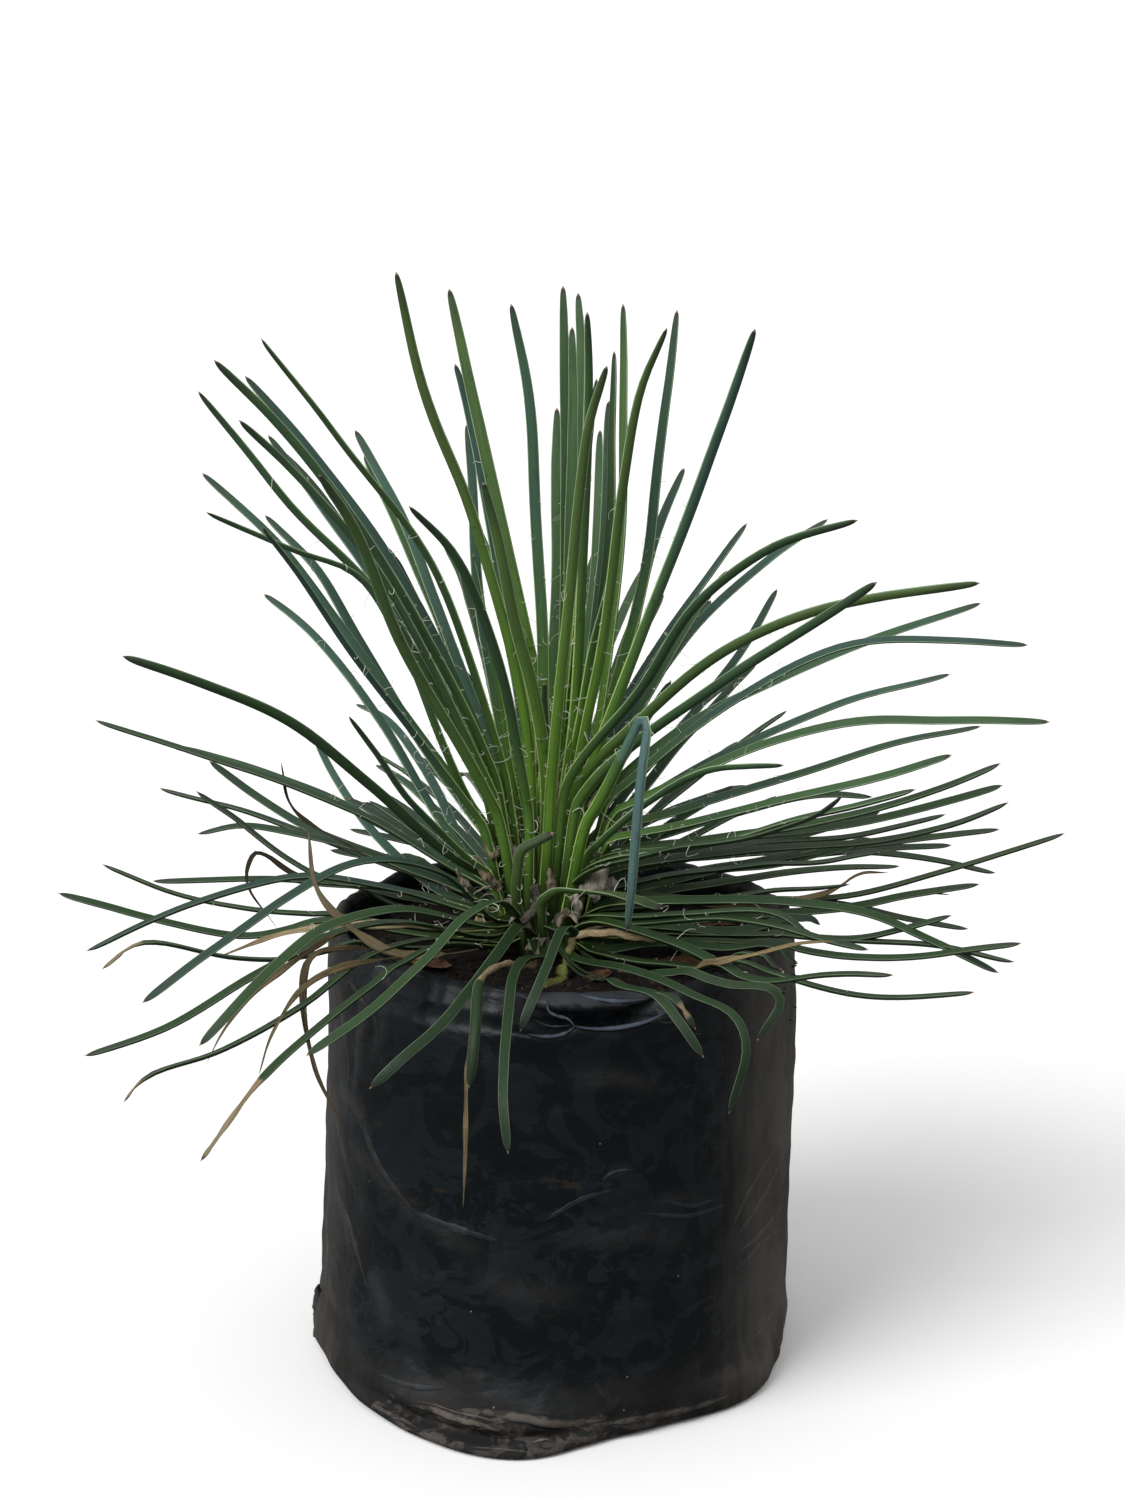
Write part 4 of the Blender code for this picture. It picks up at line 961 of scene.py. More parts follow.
# Crown
# The short, thick stem that all leaves grow from, scarred where old leaves were shed.
# It stands in the soil, and the bases of the leaves hide all but its foot.
CROWN = (-0.004, 0.0, 0.2070)
CROWN_ROWS = 44
CROWN_COLUMNS = 72
CROWN_SCAR = 0.0012
CROWN_LUMP = 0.0010
CROWN_PROFILE = (
    (0.0040, 0.0290), (0.0080, 0.0230), (0.0125, 0.0120), (0.0180, 0.0030), (0.0200, -0.0020),
    (0.0200, -0.0064), (0.0170, -0.0067), (0.0162, -0.0390), (0.0090, -0.0467),
)
crown_rings = []
for i, (reach, height) in enumerate(smooth_course(CROWN_PROFILE, CROWN_ROWS)):
    ring = []
    for j in range(CROWN_COLUMNS):
        angle = 2 * math.pi * j / CROWN_COLUMNS
        scale = abs(math.sin(4 * angle + (i // 3) * 2.4)) * CROWN_SCAR
        lump = noise_at(math.cos(angle) * 3, math.sin(angle) * 3, height * 160) * CROWN_LUMP
        out = reach + (scale + lump) * min(1.0, reach / 0.012)
        ring.append((CROWN[0] + out * math.cos(angle), CROWN[1] + out * math.sin(angle), CROWN[2] + height))
    crown_rings.append(ring)
crown_skin, tree, shader, place = new_finish("crown_skin")
bark = cloudy(tree, stretched(tree, place, (1.0, 1.0, 0.35)), 320.0, 6.0, 0.62)
colour = tinted(tree, eased(tree, bark, 0.36, 0.62), (0.005, 0.007, 0.003), (0.020, 0.025, 0.008))
low = eased(tree, axis_of(tree, place, "Z"), 0.212, 0.203)
colour = tinted(tree, times(tree, low, 0.8), colour, (0.020, 0.014, 0.009))
surfaced(tree, shader, colour, 0.7)
bumpy(tree, shader, bark, 0.0010)
finished(new_piece("crown", skin(np.array(crown_rings), True, True)), crown_skin, "green_leaf", "rosette")


# Green leaves
# Narrow, stiff leaves, flat above and rounded below, each with a thin pale horny edge and a short spine.
# They grow from the crown in close turns, upright in the heart and arching down in the skirt.
ROOT_RADIUS = 0.0225
ROOT_RISE = 0.0300
ROOT_TUCK = 0.75
ROOT_SINK = 0.010
LEAF_CLEARANCE = 0.0050
LEAF_TAPER = 0.14
BASE_FLARE = 0.62
BASE_FLARE_SHARE = 0.085

# Half width near the point, by millimetres left: on an old leaf, and on one that is still drawn out
OLD_POINT = ((0.0, 0.8, 1.5, 2.4, 3.6, 5.2, 7.5, 14.0), (0.04, 0.13, 0.30, 0.48, 0.66, 0.80, 0.91, 1.0))
DRAWN_POINT = ((0.0, 0.5, 1.5, 4.0, 13.0, 26.0, 57.0, 85.0), (0.05, 0.20, 0.38, 0.52, 0.68, 0.80, 0.94, 1.0))

# Where the leaves of the heart and the fans clasp the crown: reach and rise of a flat one and of a steep one
CLASP_REACH = (0.0210, 0.0125)
CLASP_RISE = (-0.0030, 0.0050)
CLASP_SPREAD = (math.radians(-172), math.radians(-8))
PATH_STEPS = 25
WIDTH_DRAW = (0.94, 1.04)
ROLL_DRAW = (-0.25, 0.25)
LEAF_STATIONS = 50
LEAF_WANDER = 0.0011
WANDER_SEED = 7
SPINE_LENGTH = 0.0024

# Where a leaf is measured near its point, in lengths of its spine from the tip
SPINE_STATIONS = (4.3, 3.2, 2.3, 1.6, 1.1, 0.75, 0.4, 0.15, 0.0)

# Each leaf: how far its tip lies behind the crown in millimetres, or in front of it where negative,
# and the pixels that it passes from the crown to its tip
HEART_LEAVES = (
    (-40, (525, 720), (475, 520), (428, 400), (396, 272)),
    (40, (540, 720), (505, 540), (474, 400), (449, 289)),
    (60, (530, 720), (497, 560), (466, 400), (455, 364)),
    (90, (500, 720), (480, 600), (472, 480), (467, 424)),
    (-50, (545, 760), (515, 620), (495, 530), (483, 482)),
    (30, (545, 750), (539, 560), (528, 390), (511, 304)),
    (60, (560, 750), (566, 500), (563, 286)),
    (80, (565, 750), (580, 500), (582, 365), (578, 293)),
    (-30, (570, 750), (586, 500), (589, 380), (587, 312)),
    (50, (562, 750), (572, 500), (572, 327)),
    (30, (590, 760), (618, 560), (624, 400), (623, 304)),
    (70, (580, 760), (606, 560), (612, 430), (614, 351)),
    (-90, (550, 800), (572, 580), (588, 430), (607, 366)),
    (-60, (575, 780), (610, 590), (637, 400), (667, 328)),
    (50, (600, 740), (645, 570), (666, 400), (677, 310)),
    (100, (552, 760), (557, 560), (557, 408)),
    (110, (560, 760), (574, 560), (577, 400)),
    (100, (570, 760), (594, 580), (600, 430)),
    (90, (575, 760), (604, 560), (609, 401)),
    (110, (590, 760), (630, 640), (657, 530), (684, 468)),
    (-60, (590, 770), (640, 640), (697, 490), (755, 329)),
    (120, (565, 790), (620, 680), (663, 594)),
)
LEFT_FAN = (
    (-50, (490, 720), (430, 560), (340, 440), (261, 338)),
    (120, (480, 720), (420, 560), (388, 490), (355, 430)),
    (130, (475, 720), (415, 560), (364, 455)),
    (-90, (520, 760), (485, 620), (450, 550), (409, 506)),
    (-70, (480, 740), (400, 590), (300, 448), (214, 360)),
    (40, (490, 760), (410, 590), (320, 462), (245, 376)),
    (-60, (480, 780), (385, 605), (290, 505), (198, 391)),
    (-80, (480, 760), (380, 575), (310, 487), (239, 420)),
    (90, (470, 760), (380, 590), (320, 505), (268, 435)),
    (-110, (480, 780), (400, 640), (355, 530), (319, 474)),
    (80, (460, 790), (350, 640), (275, 540), (202, 473)),
    (-80, (470, 800), (400, 640), (357, 573), (290, 548), (206, 512)),
    (100, (460, 800), (360, 645), (315, 567), (265, 515)),
    (-90, (465, 800), (345, 640), (290, 562), (262, 526)),
    (120, (470, 860), (380, 720), (320, 640), (264, 594)),
    (160, (470, 850), (420, 760), (380, 715), (356, 704)),
    (-70, (475, 860), (410, 800), (375, 750), (349, 716)),
    (150, (460, 900), (390, 850), (345, 795), (316, 741)),
)
LEFT_SKIRT = (
    (-60, (450, 855), (370, 785), (290, 722), (200, 682), (122, 656)),
    (60, (450, 865), (370, 818), (280, 780), (180, 748), (95, 720)),
    (120, (450, 880), (350, 845), (280, 812), (209, 761)),
    (110, (450, 885), (350, 850), (260, 815), (159, 788)),
    (60, (430, 915), (340, 890), (290, 860), (240, 822), (196, 791)),
    (90, (440, 880), (360, 850), (300, 834), (240, 826), (197, 834)),
    (120, (480, 880), (440, 850), (395, 838), (349, 829)),
    (150, (470, 870), (420, 826), (362, 802)),
    (-20, (460, 930), (380, 922), (260, 910), (180, 893), (102, 864)),
    (40, (450, 900), (360, 885), (250, 878), (152, 881)),
    (-40, (450, 935), (340, 928), (240, 936), (150, 918), (58, 893)),
    (-60, (490, 915), (400, 889), (300, 876), (200, 899), (86, 951)),
    (-100, (450, 945), (340, 955), (230, 957), (143, 941), (101, 970)),
    (-130, (500, 920), (440, 870), (370, 860), (290, 895), (200, 960), (142, 1003)),
    (-150, (490, 935), (410, 922), (340, 930), (260, 972), (160, 1030), (84, 1056)),
    (-150, (490, 925), (400, 908), (330, 925), (280, 962), (199, 1046)),
    (-150, (510, 940), (430, 939), (370, 955), (300, 1005), (220, 1050), (145, 1077), (123, 1103)),
    (-185, (500, 945), (440, 945), (390, 975), (330, 1017), (258, 1083), (200, 1162)),
    (-150, (500, 900), (470, 912), (420, 965), (370, 1010), (306, 1056)),
)
FRONT_LEAVES = (
    (-170, (522, 924), (500, 950), (450, 1015), (400, 1062), (369, 1089)),
    (-150, (535, 965), (505, 963), (482, 980), (476, 1030), (469, 1088)),
    (-195, (545, 955), (522, 962), (508, 1010), (503, 1090), (508, 1154)),
    (-140, (575, 935), (566, 925), (548, 965), (530, 1005), (520, 1032)),
    (-160, (570, 955), (630, 968), (690, 993), (733, 1013), (746, 1045), (729, 1114)),
    (-150, (580, 975), (620, 992), (655, 995), (680, 1022), (704, 1058)),
    (-140, (590, 975), (640, 990), (672, 997), (696, 1030)),
    (-120, (600, 962), (665, 980), (726, 986), (773, 989), (781, 1002), (757, 1041)),
    (-70, (600, 800), (640, 722), (648, 712), (640, 800), (633, 880), (627, 932)),
    (-60, (538, 912), (545, 899), (561, 890), (610, 893), (663, 909)),
    (-35, (522, 925), (516, 900), (517, 868), (522, 851), (536, 843), (554, 833)),
)
RIGHT_FAN = (
    (60, (575, 790), (630, 690), (690, 600), (747, 523)),
    (-80, (570, 780), (640, 690), (700, 600), (770, 548), (858, 520)),
    (90, (575, 790), (640, 700), (705, 615), (775, 555), (828, 519)),
    (130, (580, 830), (650, 760), (735, 660), (777, 589)),
    (140, (570, 800), (640, 700), (711, 600)),
    (-60, (575, 790), (640, 720), (720, 655), (800, 617), (880, 597), (980, 583)),
    (-90, (580, 800), (640, 740), (720, 683), (800, 633), (877, 582)),
    (60, (590, 810), (680, 730), (780, 678), (880, 637), (981, 603)),
    (20, (590, 820), (650, 765), (725, 705), (800, 662), (872, 640), (1028, 645)),
    (100, (590, 840), (680, 778), (760, 737), (850, 700), (950, 674)),
    (-40, (590, 830), (680, 780), (760, 745), (860, 720), (950, 720), (1050, 722)),
    (70, (590, 840), (680, 810), (800, 773), (900, 742), (981, 726)),
    (-80, (590, 850), (650, 800), (710, 768), (784, 765)),
    (-60, (590, 850), (680, 825), (780, 800), (870, 780), (952, 755)),
    (100, (590, 850), (660, 815), (710, 795), (745, 785)),
)
RIGHT_SKIRT = (
    (-50, (590, 860), (700, 840), (850, 815), (940, 788), (1001, 763)),
    (60, (595, 865), (720, 840), (860, 822), (930, 806), (1003, 785)),
    (-30, (600, 875), (740, 850), (890, 838), (950, 824), (1009, 802)),
    (80, (606, 900), (650, 886), (720, 868), (850, 846), (1000, 829)),
    (-80, (590, 865), (700, 845), (800, 818), (860, 803), (916, 789)),
    (-110, (590, 870), (660, 850), (760, 832), (815, 815), (843, 795)),
    (60, (590, 860), (680, 830), (780, 800), (830, 794), (873, 797)),
    (20, (600, 900), (740, 900), (850, 893), (950, 869), (1065, 833)),
    (90, (600, 870), (720, 855), (840, 850), (920, 857), (996, 873)),
    (110, (600, 893), (650, 880), (730, 864), (860, 850), (952, 845)),
    (110, (600, 870), (740, 845), (870, 832), (946, 814)),
    (-15, (610, 930), (740, 915), (850, 907), (910, 894), (980, 884)),
    (-60, (620, 925), (740, 935), (850, 937), (900, 928), (952, 915)),
    (15, (600, 915), (740, 900), (850, 905), (910, 918), (969, 929)),
    (-90, (600, 935), (700, 940), (790, 955), (900, 957), (1022, 943)),
    (-70, (600, 930), (740, 935), (860, 940), (940, 945), (1015, 962)),
    (-70, (600, 905), (700, 900), (790, 902), (870, 914), (930, 940), (999, 973)),
    (-140, (600, 925), (655, 937), (720, 972), (800, 984), (880, 996), (975, 992)),
    (-135, (590, 920), (680, 945), (750, 980), (820, 973), (894, 975)),
    (-80, (590, 915), (650, 915), (730, 910), (780, 914), (814, 940)),
    (-100, (590, 925), (680, 918), (760, 922), (820, 937), (869, 950)),
)
DRY_LEAVES = (
    (-138, (525, 960), (488, 985), (474, 1075), (466, 1140), (463, 1208)),
    (-100, (470, 950), (405, 955), (350, 928), (317, 890), (308, 830)),
    (-110, (420, 950), (350, 948), (312, 957), (303, 1000), (315, 1065), (343, 1128)),
    (-130, (450, 930), (360, 925), (290, 965), (230, 1020), (204, 1068)),
    (-130, (450, 950), (340, 967), (300, 992), (272, 1035), (259, 1075)),
    (30, (430, 900), (300, 876), (257, 853), (248, 882), (277, 928)),
    (-60, (450, 930), (360, 925), (290, 930), (218, 957)),
    (60, (440, 885), (345, 845), (292, 806), (281, 762)),
    (-105, (600, 985), (690, 975), (740, 960), (790, 945), (838, 941)),
    (10, (610, 900), (720, 905), (830, 892), (860, 874), (891, 873)),
    (-10, (620, 920), (760, 915), (870, 905), (915, 893), (951, 895)),
)

# The leaves of each group: how early they reach their depth, their width, how far up they are young and
# bright, how much blue bloom they have, or yellow where negative, and how drawn out their point is
LEAF_GROUPS = (
    ("heart", HEART_LEAVES, 0.85, 0.0062, 0.62, -0.15, 0.8),
    ("left_fan", LEFT_FAN, 0.90, 0.0056, 0.42, 0.32, 0.45),
    ("left_skirt", LEFT_SKIRT, 1.40, 0.0054, 0.14, 0.05, 0.2),
    ("front", FRONT_LEAVES, 2.20, 0.0049, 0.04, 0.15, 0.0),
    ("right_fan", RIGHT_FAN, 0.90, 0.0054, 0.38, 0.30, 0.45),
    ("right_skirt", RIGHT_SKIRT, 1.30, 0.0056, 0.16, -0.05, 0.2),
    ("dry", DRY_LEAVES, 1.70, 0.0042, 0.0, 0.0, 0.5),
)

# The stretches that have died back on leaves that are green elsewhere, by group and row: shares from and to
DEAD_STRETCHES = {
    "left_skirt": {12: (0.88, 1.10), 16: (0.93, 1.10), 17: (0.80, 1.10)},
    "right_skirt": {17: (0.04, 0.24)},
    "front": {1: (0.18, 0.70), 6: (0.90, 0.975), 8: (0.978, 1.10)},
}

# Leaves that are wider than the rest of their group, by group and row: how much
STOUT_LEAVES = {
    "front": {0: 1.05, 1: 1.15, 4: 0.88, 7: 0.88, 8: 1.14, 9: 1.10, 10: 1.16},
    "heart": {12: 0.88, 13: 0.90},
    "right_fan": {5: 0.98},
}

# Leaves that turn their face further to the front than the rest of their group
TURNED_LEAVES = {"front": {1: 1.0}, "right_fan": {1: 0.5, 5: 0.85, 6: 0.65}, "left_skirt": {0: 0.5}}

# Leaves whose first stretch has shrunk to a thin stalk: up to what share
STALKED_LEAVES = {"front": {5: 0.60, 6: 0.79, 7: 0.48}}

# Leaves with another bloom than their group
BLOOMED_LEAVES = {
    "front": {7: -0.2, 8: 1.7, 9: -0.9, 10: -0.9},
    "heart": {0: -0.7, 1: -0.5, 2: 0.9, 3: 0.7, 4: -0.9, 5: 0.6, 10: -0.4, 12: -1.0, 13: -1.0, 14: 0.6,
              18: 0.5, 19: 0.7, 20: 0.7},
    "left_fan": {0: -0.2, 2: -0.1, 5: 0.9, 8: 0.9, 9: -0.4, 13: 0.9},
    "left_skirt": {11: 0.8, 13: 0.7},
    "right_fan": {0: 0.8, 2: 0.8, 5: -0.6, 8: 0.9},
    "right_skirt": {7: -0.4},
}

# The leaf that is folded over, and shows its blue underside from a share of its length
FOLDED_LEAF = ("front", 8)
FOLDED_FROM = 0.44

# Leaves that were torn off short, and end blunt
CUT_LEAVES = (("front", 10), ("right_fan", 5))

# Leaves of the skirt's far side that show between the others: as the tables of the leaves have them
FILLING_FALL = 1.3
FILLING_LEAVES = (
    (40, (604, 903), (660, 893), (740, 879), (830, 868), (900, 866)),
    (60, (604, 896), (660, 882), (720, 870), (790, 860), (870, 838)),
    (-20, (600, 910), (660, 905), (720, 896), (780, 890), (850, 884)),
    (100, (600, 880), (660, 862), (720, 850), (800, 834), (880, 812)),
    (30, (604, 890), (660, 876), (730, 866), (800, 862), (880, 852)),
    (110, (470, 890), (420, 868), (380, 858), (330, 850)),
    (40, (460, 905), (400, 893), (340, 884), (290, 880)),
    (-62, (600, 949), (646, 943), (699, 944), (735, 953), (798, 976)),
    (-38, (600, 946), (654, 938), (700, 938), (760, 946), (815, 957)),
    (-20, (600, 940), (650, 931), (700, 929), (760, 935), (820, 946)),
    (-74, (596, 956), (640, 960), (690, 966), (730, 974), (782, 984)),
)

# Leaves of a lighter olive than the rest of their group, which also paints less shade on them
OLIVE_LEAVES = (("front", 9), ("front", 10), ("filling", 1), ("right_skirt", 6), ("right_skirt", 4))

# The leaves that the photograph hides, which follow the turn of a rosette
HIDDEN_LEAVES = 32
HIDDEN_SEED = 11
HIDDEN_WIDTH = 0.0058
HIDDEN_FROM = math.radians(18)
HIDDEN_SPAN = math.radians(144)
HIDDEN_STEEPEST = 68
HIDDEN_FLATTENING = 54
HIDDEN_FALL = 0.8
HIDDEN_SLOPE_DRAW = (-0.07, 0.07)
HIDDEN_LENGTHS = (0.235, 0.285)
HIDDEN_DROOP = 22
HIDDEN_DROOP_GAIN = 26
HIDDEN_DROOP_DRAW = (0.7, 1.3)
HIDDEN_SWAY = (-0.16, 0.16)
DROOP_FALL = 1.6
GOLDEN_TURN = math.radians(137.508)
HEART_SPEARS = 7
SPEAR_STEEPEST = 88
SPEAR_STEP = 1.6
SPEAR_LENGTHS = (0.16, 0.24)
SPEAR_DROOP = math.radians(6)
SPEAR_WIDTH = 0.0058

# How much of its length each hidden leaf and each heart spear keeps, so that none shows past the others
HIDDEN_KEPT = (
    0.65, 0.64, 0.69, 0.69, 1.0, 0.76, 0.59, 0.42, 0.65, 0.87, 1.0, 0.54, 1.0, 0.83, 0.82, 0.81,
    0.57, 0.69, 0.61, 0.51, 0.58, 0.42, 0.44, 0.78, 0.39, 0.41, 0.51, 0.48, 0.56, 0.68, 0.71, 0.95,
)
SPEAR_KEPT = (1.0, 0.70, 0.45, 1.0, 0.66, 1.0, 0.58)


def floor_under(x, y):
    """The lowest a leaf may run at a place: over the soil, and over the bag's rim."""
    reach = math.hypot(x - BAG_LEAN, y)
    if reach > BAG_FOOT_RADIUS + LEAF_CLEARANCE:
        return 0.0
    rim = np.interp(reach, (BAG_MOUTH_RADIUS * 0.80, BAG_MOUTH_RADIUS * 0.94), (0.0, 1.0))
    return SOIL_LEVEL + (BAG_HEIGHT - SOIL_LEVEL) * rim + LEAF_CLEARANCE


def held_clear(line):
    """The line, raised a little where it would enter the soil or the bag's rim."""
    lift = np.zeros(len(line))
    for i in range(2, len(line)):
        lift[i] = max(0.0, floor_under(line[i, 0], line[i, 1]) - line[i, 2])
    for _ in range(4):
        spread = np.convolve(np.pad(lift, 2, mode="edge"), (0.12, 0.24, 0.28, 0.24, 0.12), "valid")
        lift = np.maximum(lift, spread)
    lift[0] = 0.0
    raised = line.copy()
    raised[:, 2] += lift
    return raised


def crown_root(heading, steepness):
    """Where a leaf leaves the crown: steep leaves sit higher and nearer to the middle."""
    tuck = max(0.0, math.sin(steepness))
    reach = ROOT_RADIUS * (1.0 - ROOT_TUCK * tuck)
    out = np.array([math.cos(heading) * reach, math.sin(heading) * reach, ROOT_RISE * tuck])
    return np.array(CROWN) + out


def lie_of(line):
    """The compass heading and the steepness at which a leaf leaves the crown."""
    outward = line[PATH_STEPS // 3] - np.array(CROWN)
    return math.atan2(outward[1], outward[0]), math.atan2(outward[2], math.hypot(outward[0], outward[1]))


def seen_leaf(row, fall):
    """The middle line of a leaf that the photograph shows, and its compass heading."""
    reach = row[0] / 1000.0
    root = np.array(CROWN)
    share = 1.0 - (1.0 - np.linspace(0.0, 1.0, PATH_STEPS)) ** fall
    for _ in range(3):
        course = smooth_course([pixel_of(root), *row[1:]], PATH_STEPS)
        depths = root[1] + (reach - root[1]) * share
        line = np.array([seen_at(p, d) for p, d in zip(course, depths)])
        heading, steepness = lie_of(line)
        root = crown_root(heading, steepness)
    return held_clear(line), heading


def arched_leaf(heading, steepness, length, droop, sway):
    """The middle line of a leaf that leaves the crown at a slope and arches over."""
    share = np.linspace(0.0, 1.0, PATH_STEPS)
    slope = steepness - droop * share ** DROOP_FALL
    compass = heading + sway * share
    step = length / (PATH_STEPS - 1)
    along = np.stack([np.cos(slope) * np.cos(compass), np.cos(slope) * np.sin(compass), np.sin(slope)], -1)
    root = crown_root(heading, steepness)
    walked = np.vstack([np.zeros(3), np.cumsum(along[:-1] * step, axis=0)])
    return held_clear(root + walked), heading


def noted(table, name, k, usual):
    """What a table says of one leaf, or else what is usual."""
    return table.get(name, {}).get(k, usual)


def all_leaves():
    """Group, row, middle line, heading, width, roll, youth and bloom of every leaf."""
    draw = random.Random(HIDDEN_SEED)
    for name, table, fall, width, youth, bloom, _ in LEAF_GROUPS:
        for k, row in enumerate(table):
            line, heading = seen_leaf(row, fall)
            full, roll = width * draw.uniform(*WIDTH_DRAW), draw.uniform(*ROLL_DRAW)
            full *= noted(STOUT_LEAVES, name, k, 1.0)
            behind = max(0.0, line[-1, 1]) / 0.12
            blue = noted(BLOOMED_LEAVES, name, k, bloom + 0.40 * behind)
            yield name, k, line, heading, full, roll, youth * (1.0 - 0.4 * min(1.0, behind)), blue
    for k in range(HIDDEN_LEAVES):
        share = (k + 0.5) / HIDDEN_LEAVES
        heading = HIDDEN_FROM + k * GOLDEN_TURN % HIDDEN_SPAN
        steepness = math.radians(HIDDEN_STEEPEST - HIDDEN_FLATTENING * share ** HIDDEN_FALL)
        steepness += draw.uniform(*HIDDEN_SLOPE_DRAW)
        length = draw.uniform(*HIDDEN_LENGTHS)
        droop = math.radians(HIDDEN_DROOP + HIDDEN_DROOP_GAIN * share) * draw.uniform(*HIDDEN_DROOP_DRAW)
        line, heading = arched_leaf(heading, steepness, length, droop, draw.uniform(*HIDDEN_SWAY))
        line = resampled(line, np.linspace(0.0, HIDDEN_KEPT[k], PATH_STEPS))
        full, roll = HIDDEN_WIDTH * draw.uniform(*WIDTH_DRAW), draw.uniform(*ROLL_DRAW)
        yield "hidden", k, line, heading, full, roll, 0.34 * (1.0 - share), 0.20 + 0.30 * share
    for k in range(HEART_SPEARS):
        heading = k * GOLDEN_TURN
        steepness = math.radians(SPEAR_STEEPEST - SPEAR_STEP * k)
        length = draw.uniform(*SPEAR_LENGTHS)
        line, heading = arched_leaf(heading, steepness, length, SPEAR_DROOP, 0.0)
        line = resampled(line, np.linspace(0.0, SPEAR_KEPT[k], PATH_STEPS))
        yield "spear", k, line, heading, SPEAR_WIDTH, 0.0, 0.75, 0.05
    for k, row in enumerate(FILLING_LEAVES):
        line, heading = seen_leaf(row, FILLING_FALL)
        yield "filling", k, line, heading, HIDDEN_WIDTH, ROLL_DRAW[k % 2], 0.1, 0.18 * (k % 5) - 0.3


def leaf_width(share, full):
    """Width along a leaf: a broad base, then nearly even as far as the point."""
    flare = BASE_FLARE * np.exp(-((share / BASE_FLARE_SHARE) ** 2))
    return full * (1.04 - LEAF_TAPER * share + flare)


def sunk(line):
    """The line, with its start drawn back into the crown."""
    inward = line[1] - line[0]
    return np.vstack([line[0] - inward / np.linalg.norm(inward) * ROOT_SINK, line[1:]])


def clasped(line, turn):
    """The line, led down to where its base clasps the crown at a compass angle."""
    _, steepness = lie_of(line)
    reach = np.interp(math.degrees(steepness), (30, 78), CLASP_REACH)
    rise = np.interp(math.degrees(steepness), (30, 78), CLASP_RISE)
    out = np.array([math.cos(turn), math.sin(turn), 0.0])
    foot = np.array(CROWN) + out * reach + (0.0, 0.0, rise)
    return np.vstack([foot - out * 0.003 - (0.0, 0.0, 0.007), foot, line[4:]])


def faced(points, ahead, side, above):
    """The twist along a leaf that turns its face to where the photograph was taken from."""
    twist = []
    for i in (len(points) // 3, 5 * len(points) // 6):
        across = np.cross(ahead[i], VIEWER - points[i])
        turn = math.atan2(across @ above[i], across @ side[i])
        twist.append((turn + math.pi / 2) % math.pi - math.pi / 2)
    if abs(twist[1] - twist[0]) > math.pi / 2:
        twist[1] -= math.copysign(math.pi, twist[1] - twist[0])
    return twist


# The noise that lets a leaf wander takes its offsets from the clock where it isn't given a seed
noise.seed_set(WANDER_SEED)


def strip(line, headings, full, roll, draw, stations, drawn_out, turned=0.0):
    """Points of a leaf's middle line, its sideways direction and its half width at each."""
    length = np.linalg.norm(np.diff(line, axis=0), axis=1).sum()
    tail = SPINE_LENGTH / length
    evenly = np.linspace(0.0, 1.0 - 5.5 * tail, stations - len(SPINE_STATIONS))
    shares = np.concatenate([evenly, 1.0 - tail * np.array(SPINE_STATIONS)])
    points = resampled(smooth_course(line, 4 * len(line)), shares)
    wander = np.array([noise.noise_vector(Vector((draw * 50.0, s * 5.0, 0.0))) for s in shares])
    points += wander * LEAF_WANDER * (np.minimum(1.0, shares * 4) * np.minimum(1.0, (1 - shares) * 8))[:, None]
    ahead = unit(np.gradient(points, axis=0))
    facing = headings[0] + turn_between(*headings) * np.clip(shares / 0.35, 0.0, 1.0)
    level = np.stack([-np.sin(facing), np.cos(facing), np.zeros(stations)], -1)
    side = unit(level - ahead * (ahead * level).sum(axis=1)[:, None])
    above = np.cross(ahead, side)
    twist = roll + 0.22 * np.sin(shares * 3.0 + draw * 9.0) * shares
    low, high = faced(points, ahead, side, above)
    twist += turned * np.interp(shares, (0.0, 0.33, 0.83), (0.0, low, high))
    side = side * np.cos(twist)[:, None] + above * np.sin(twist)[:, None]
    half = leaf_width(shares, full) / 2
    left = (1.0 - shares) * length * 1000
    half *= np.interp(left, *OLD_POINT) * (1.0 - drawn_out) + np.interp(left, *DRAWN_POINT) * drawn_out
    half *= 1.0 + 0.03 * wander[:, 0]
    return points, side, half, shares


LEAF_SECTION = (
    (-1.0, 0.03), (-0.89, -0.08), (-0.82, -0.36), (-0.46, -0.62), (0.0, -0.70), (0.46, -0.62), (0.82, -0.36),
    (0.89, -0.08), (1.0, 0.03), (0.86, 0.09), (0.0, 0.02), (-0.86, 0.09),
)


def fibrous(tree, read, across, along):
    """A place on a leaf that is drawn out along it, so that a noise over it makes fibres."""
    parts = {0: times(tree, read["across"], across), 1: times(tree, read["along"], along),
             2: times(tree, read["tone"], 43.0)}
    return add(tree, "ShaderNodeCombineXYZ", parts).outputs[0]


leaf_green, tree, shader, place = new_finish("waxy_leaf")
labels = ("along", "across", "rise", "tone", "pale", "youth", "bloom", "dead", "left")
read = {label: told(tree, label) for label in labels}
lengthways = fibrous(tree, read, 5.0, 7.0)
fibres = cloudy(tree, lengthways, 1.6, 5.0, 0.6)
patches = cloudy(tree, place, 70.0, 4.0, 0.6)
bloom = plus(tree, read["bloom"], times(tree, minus(tree, patches, 0.5), 0.7))
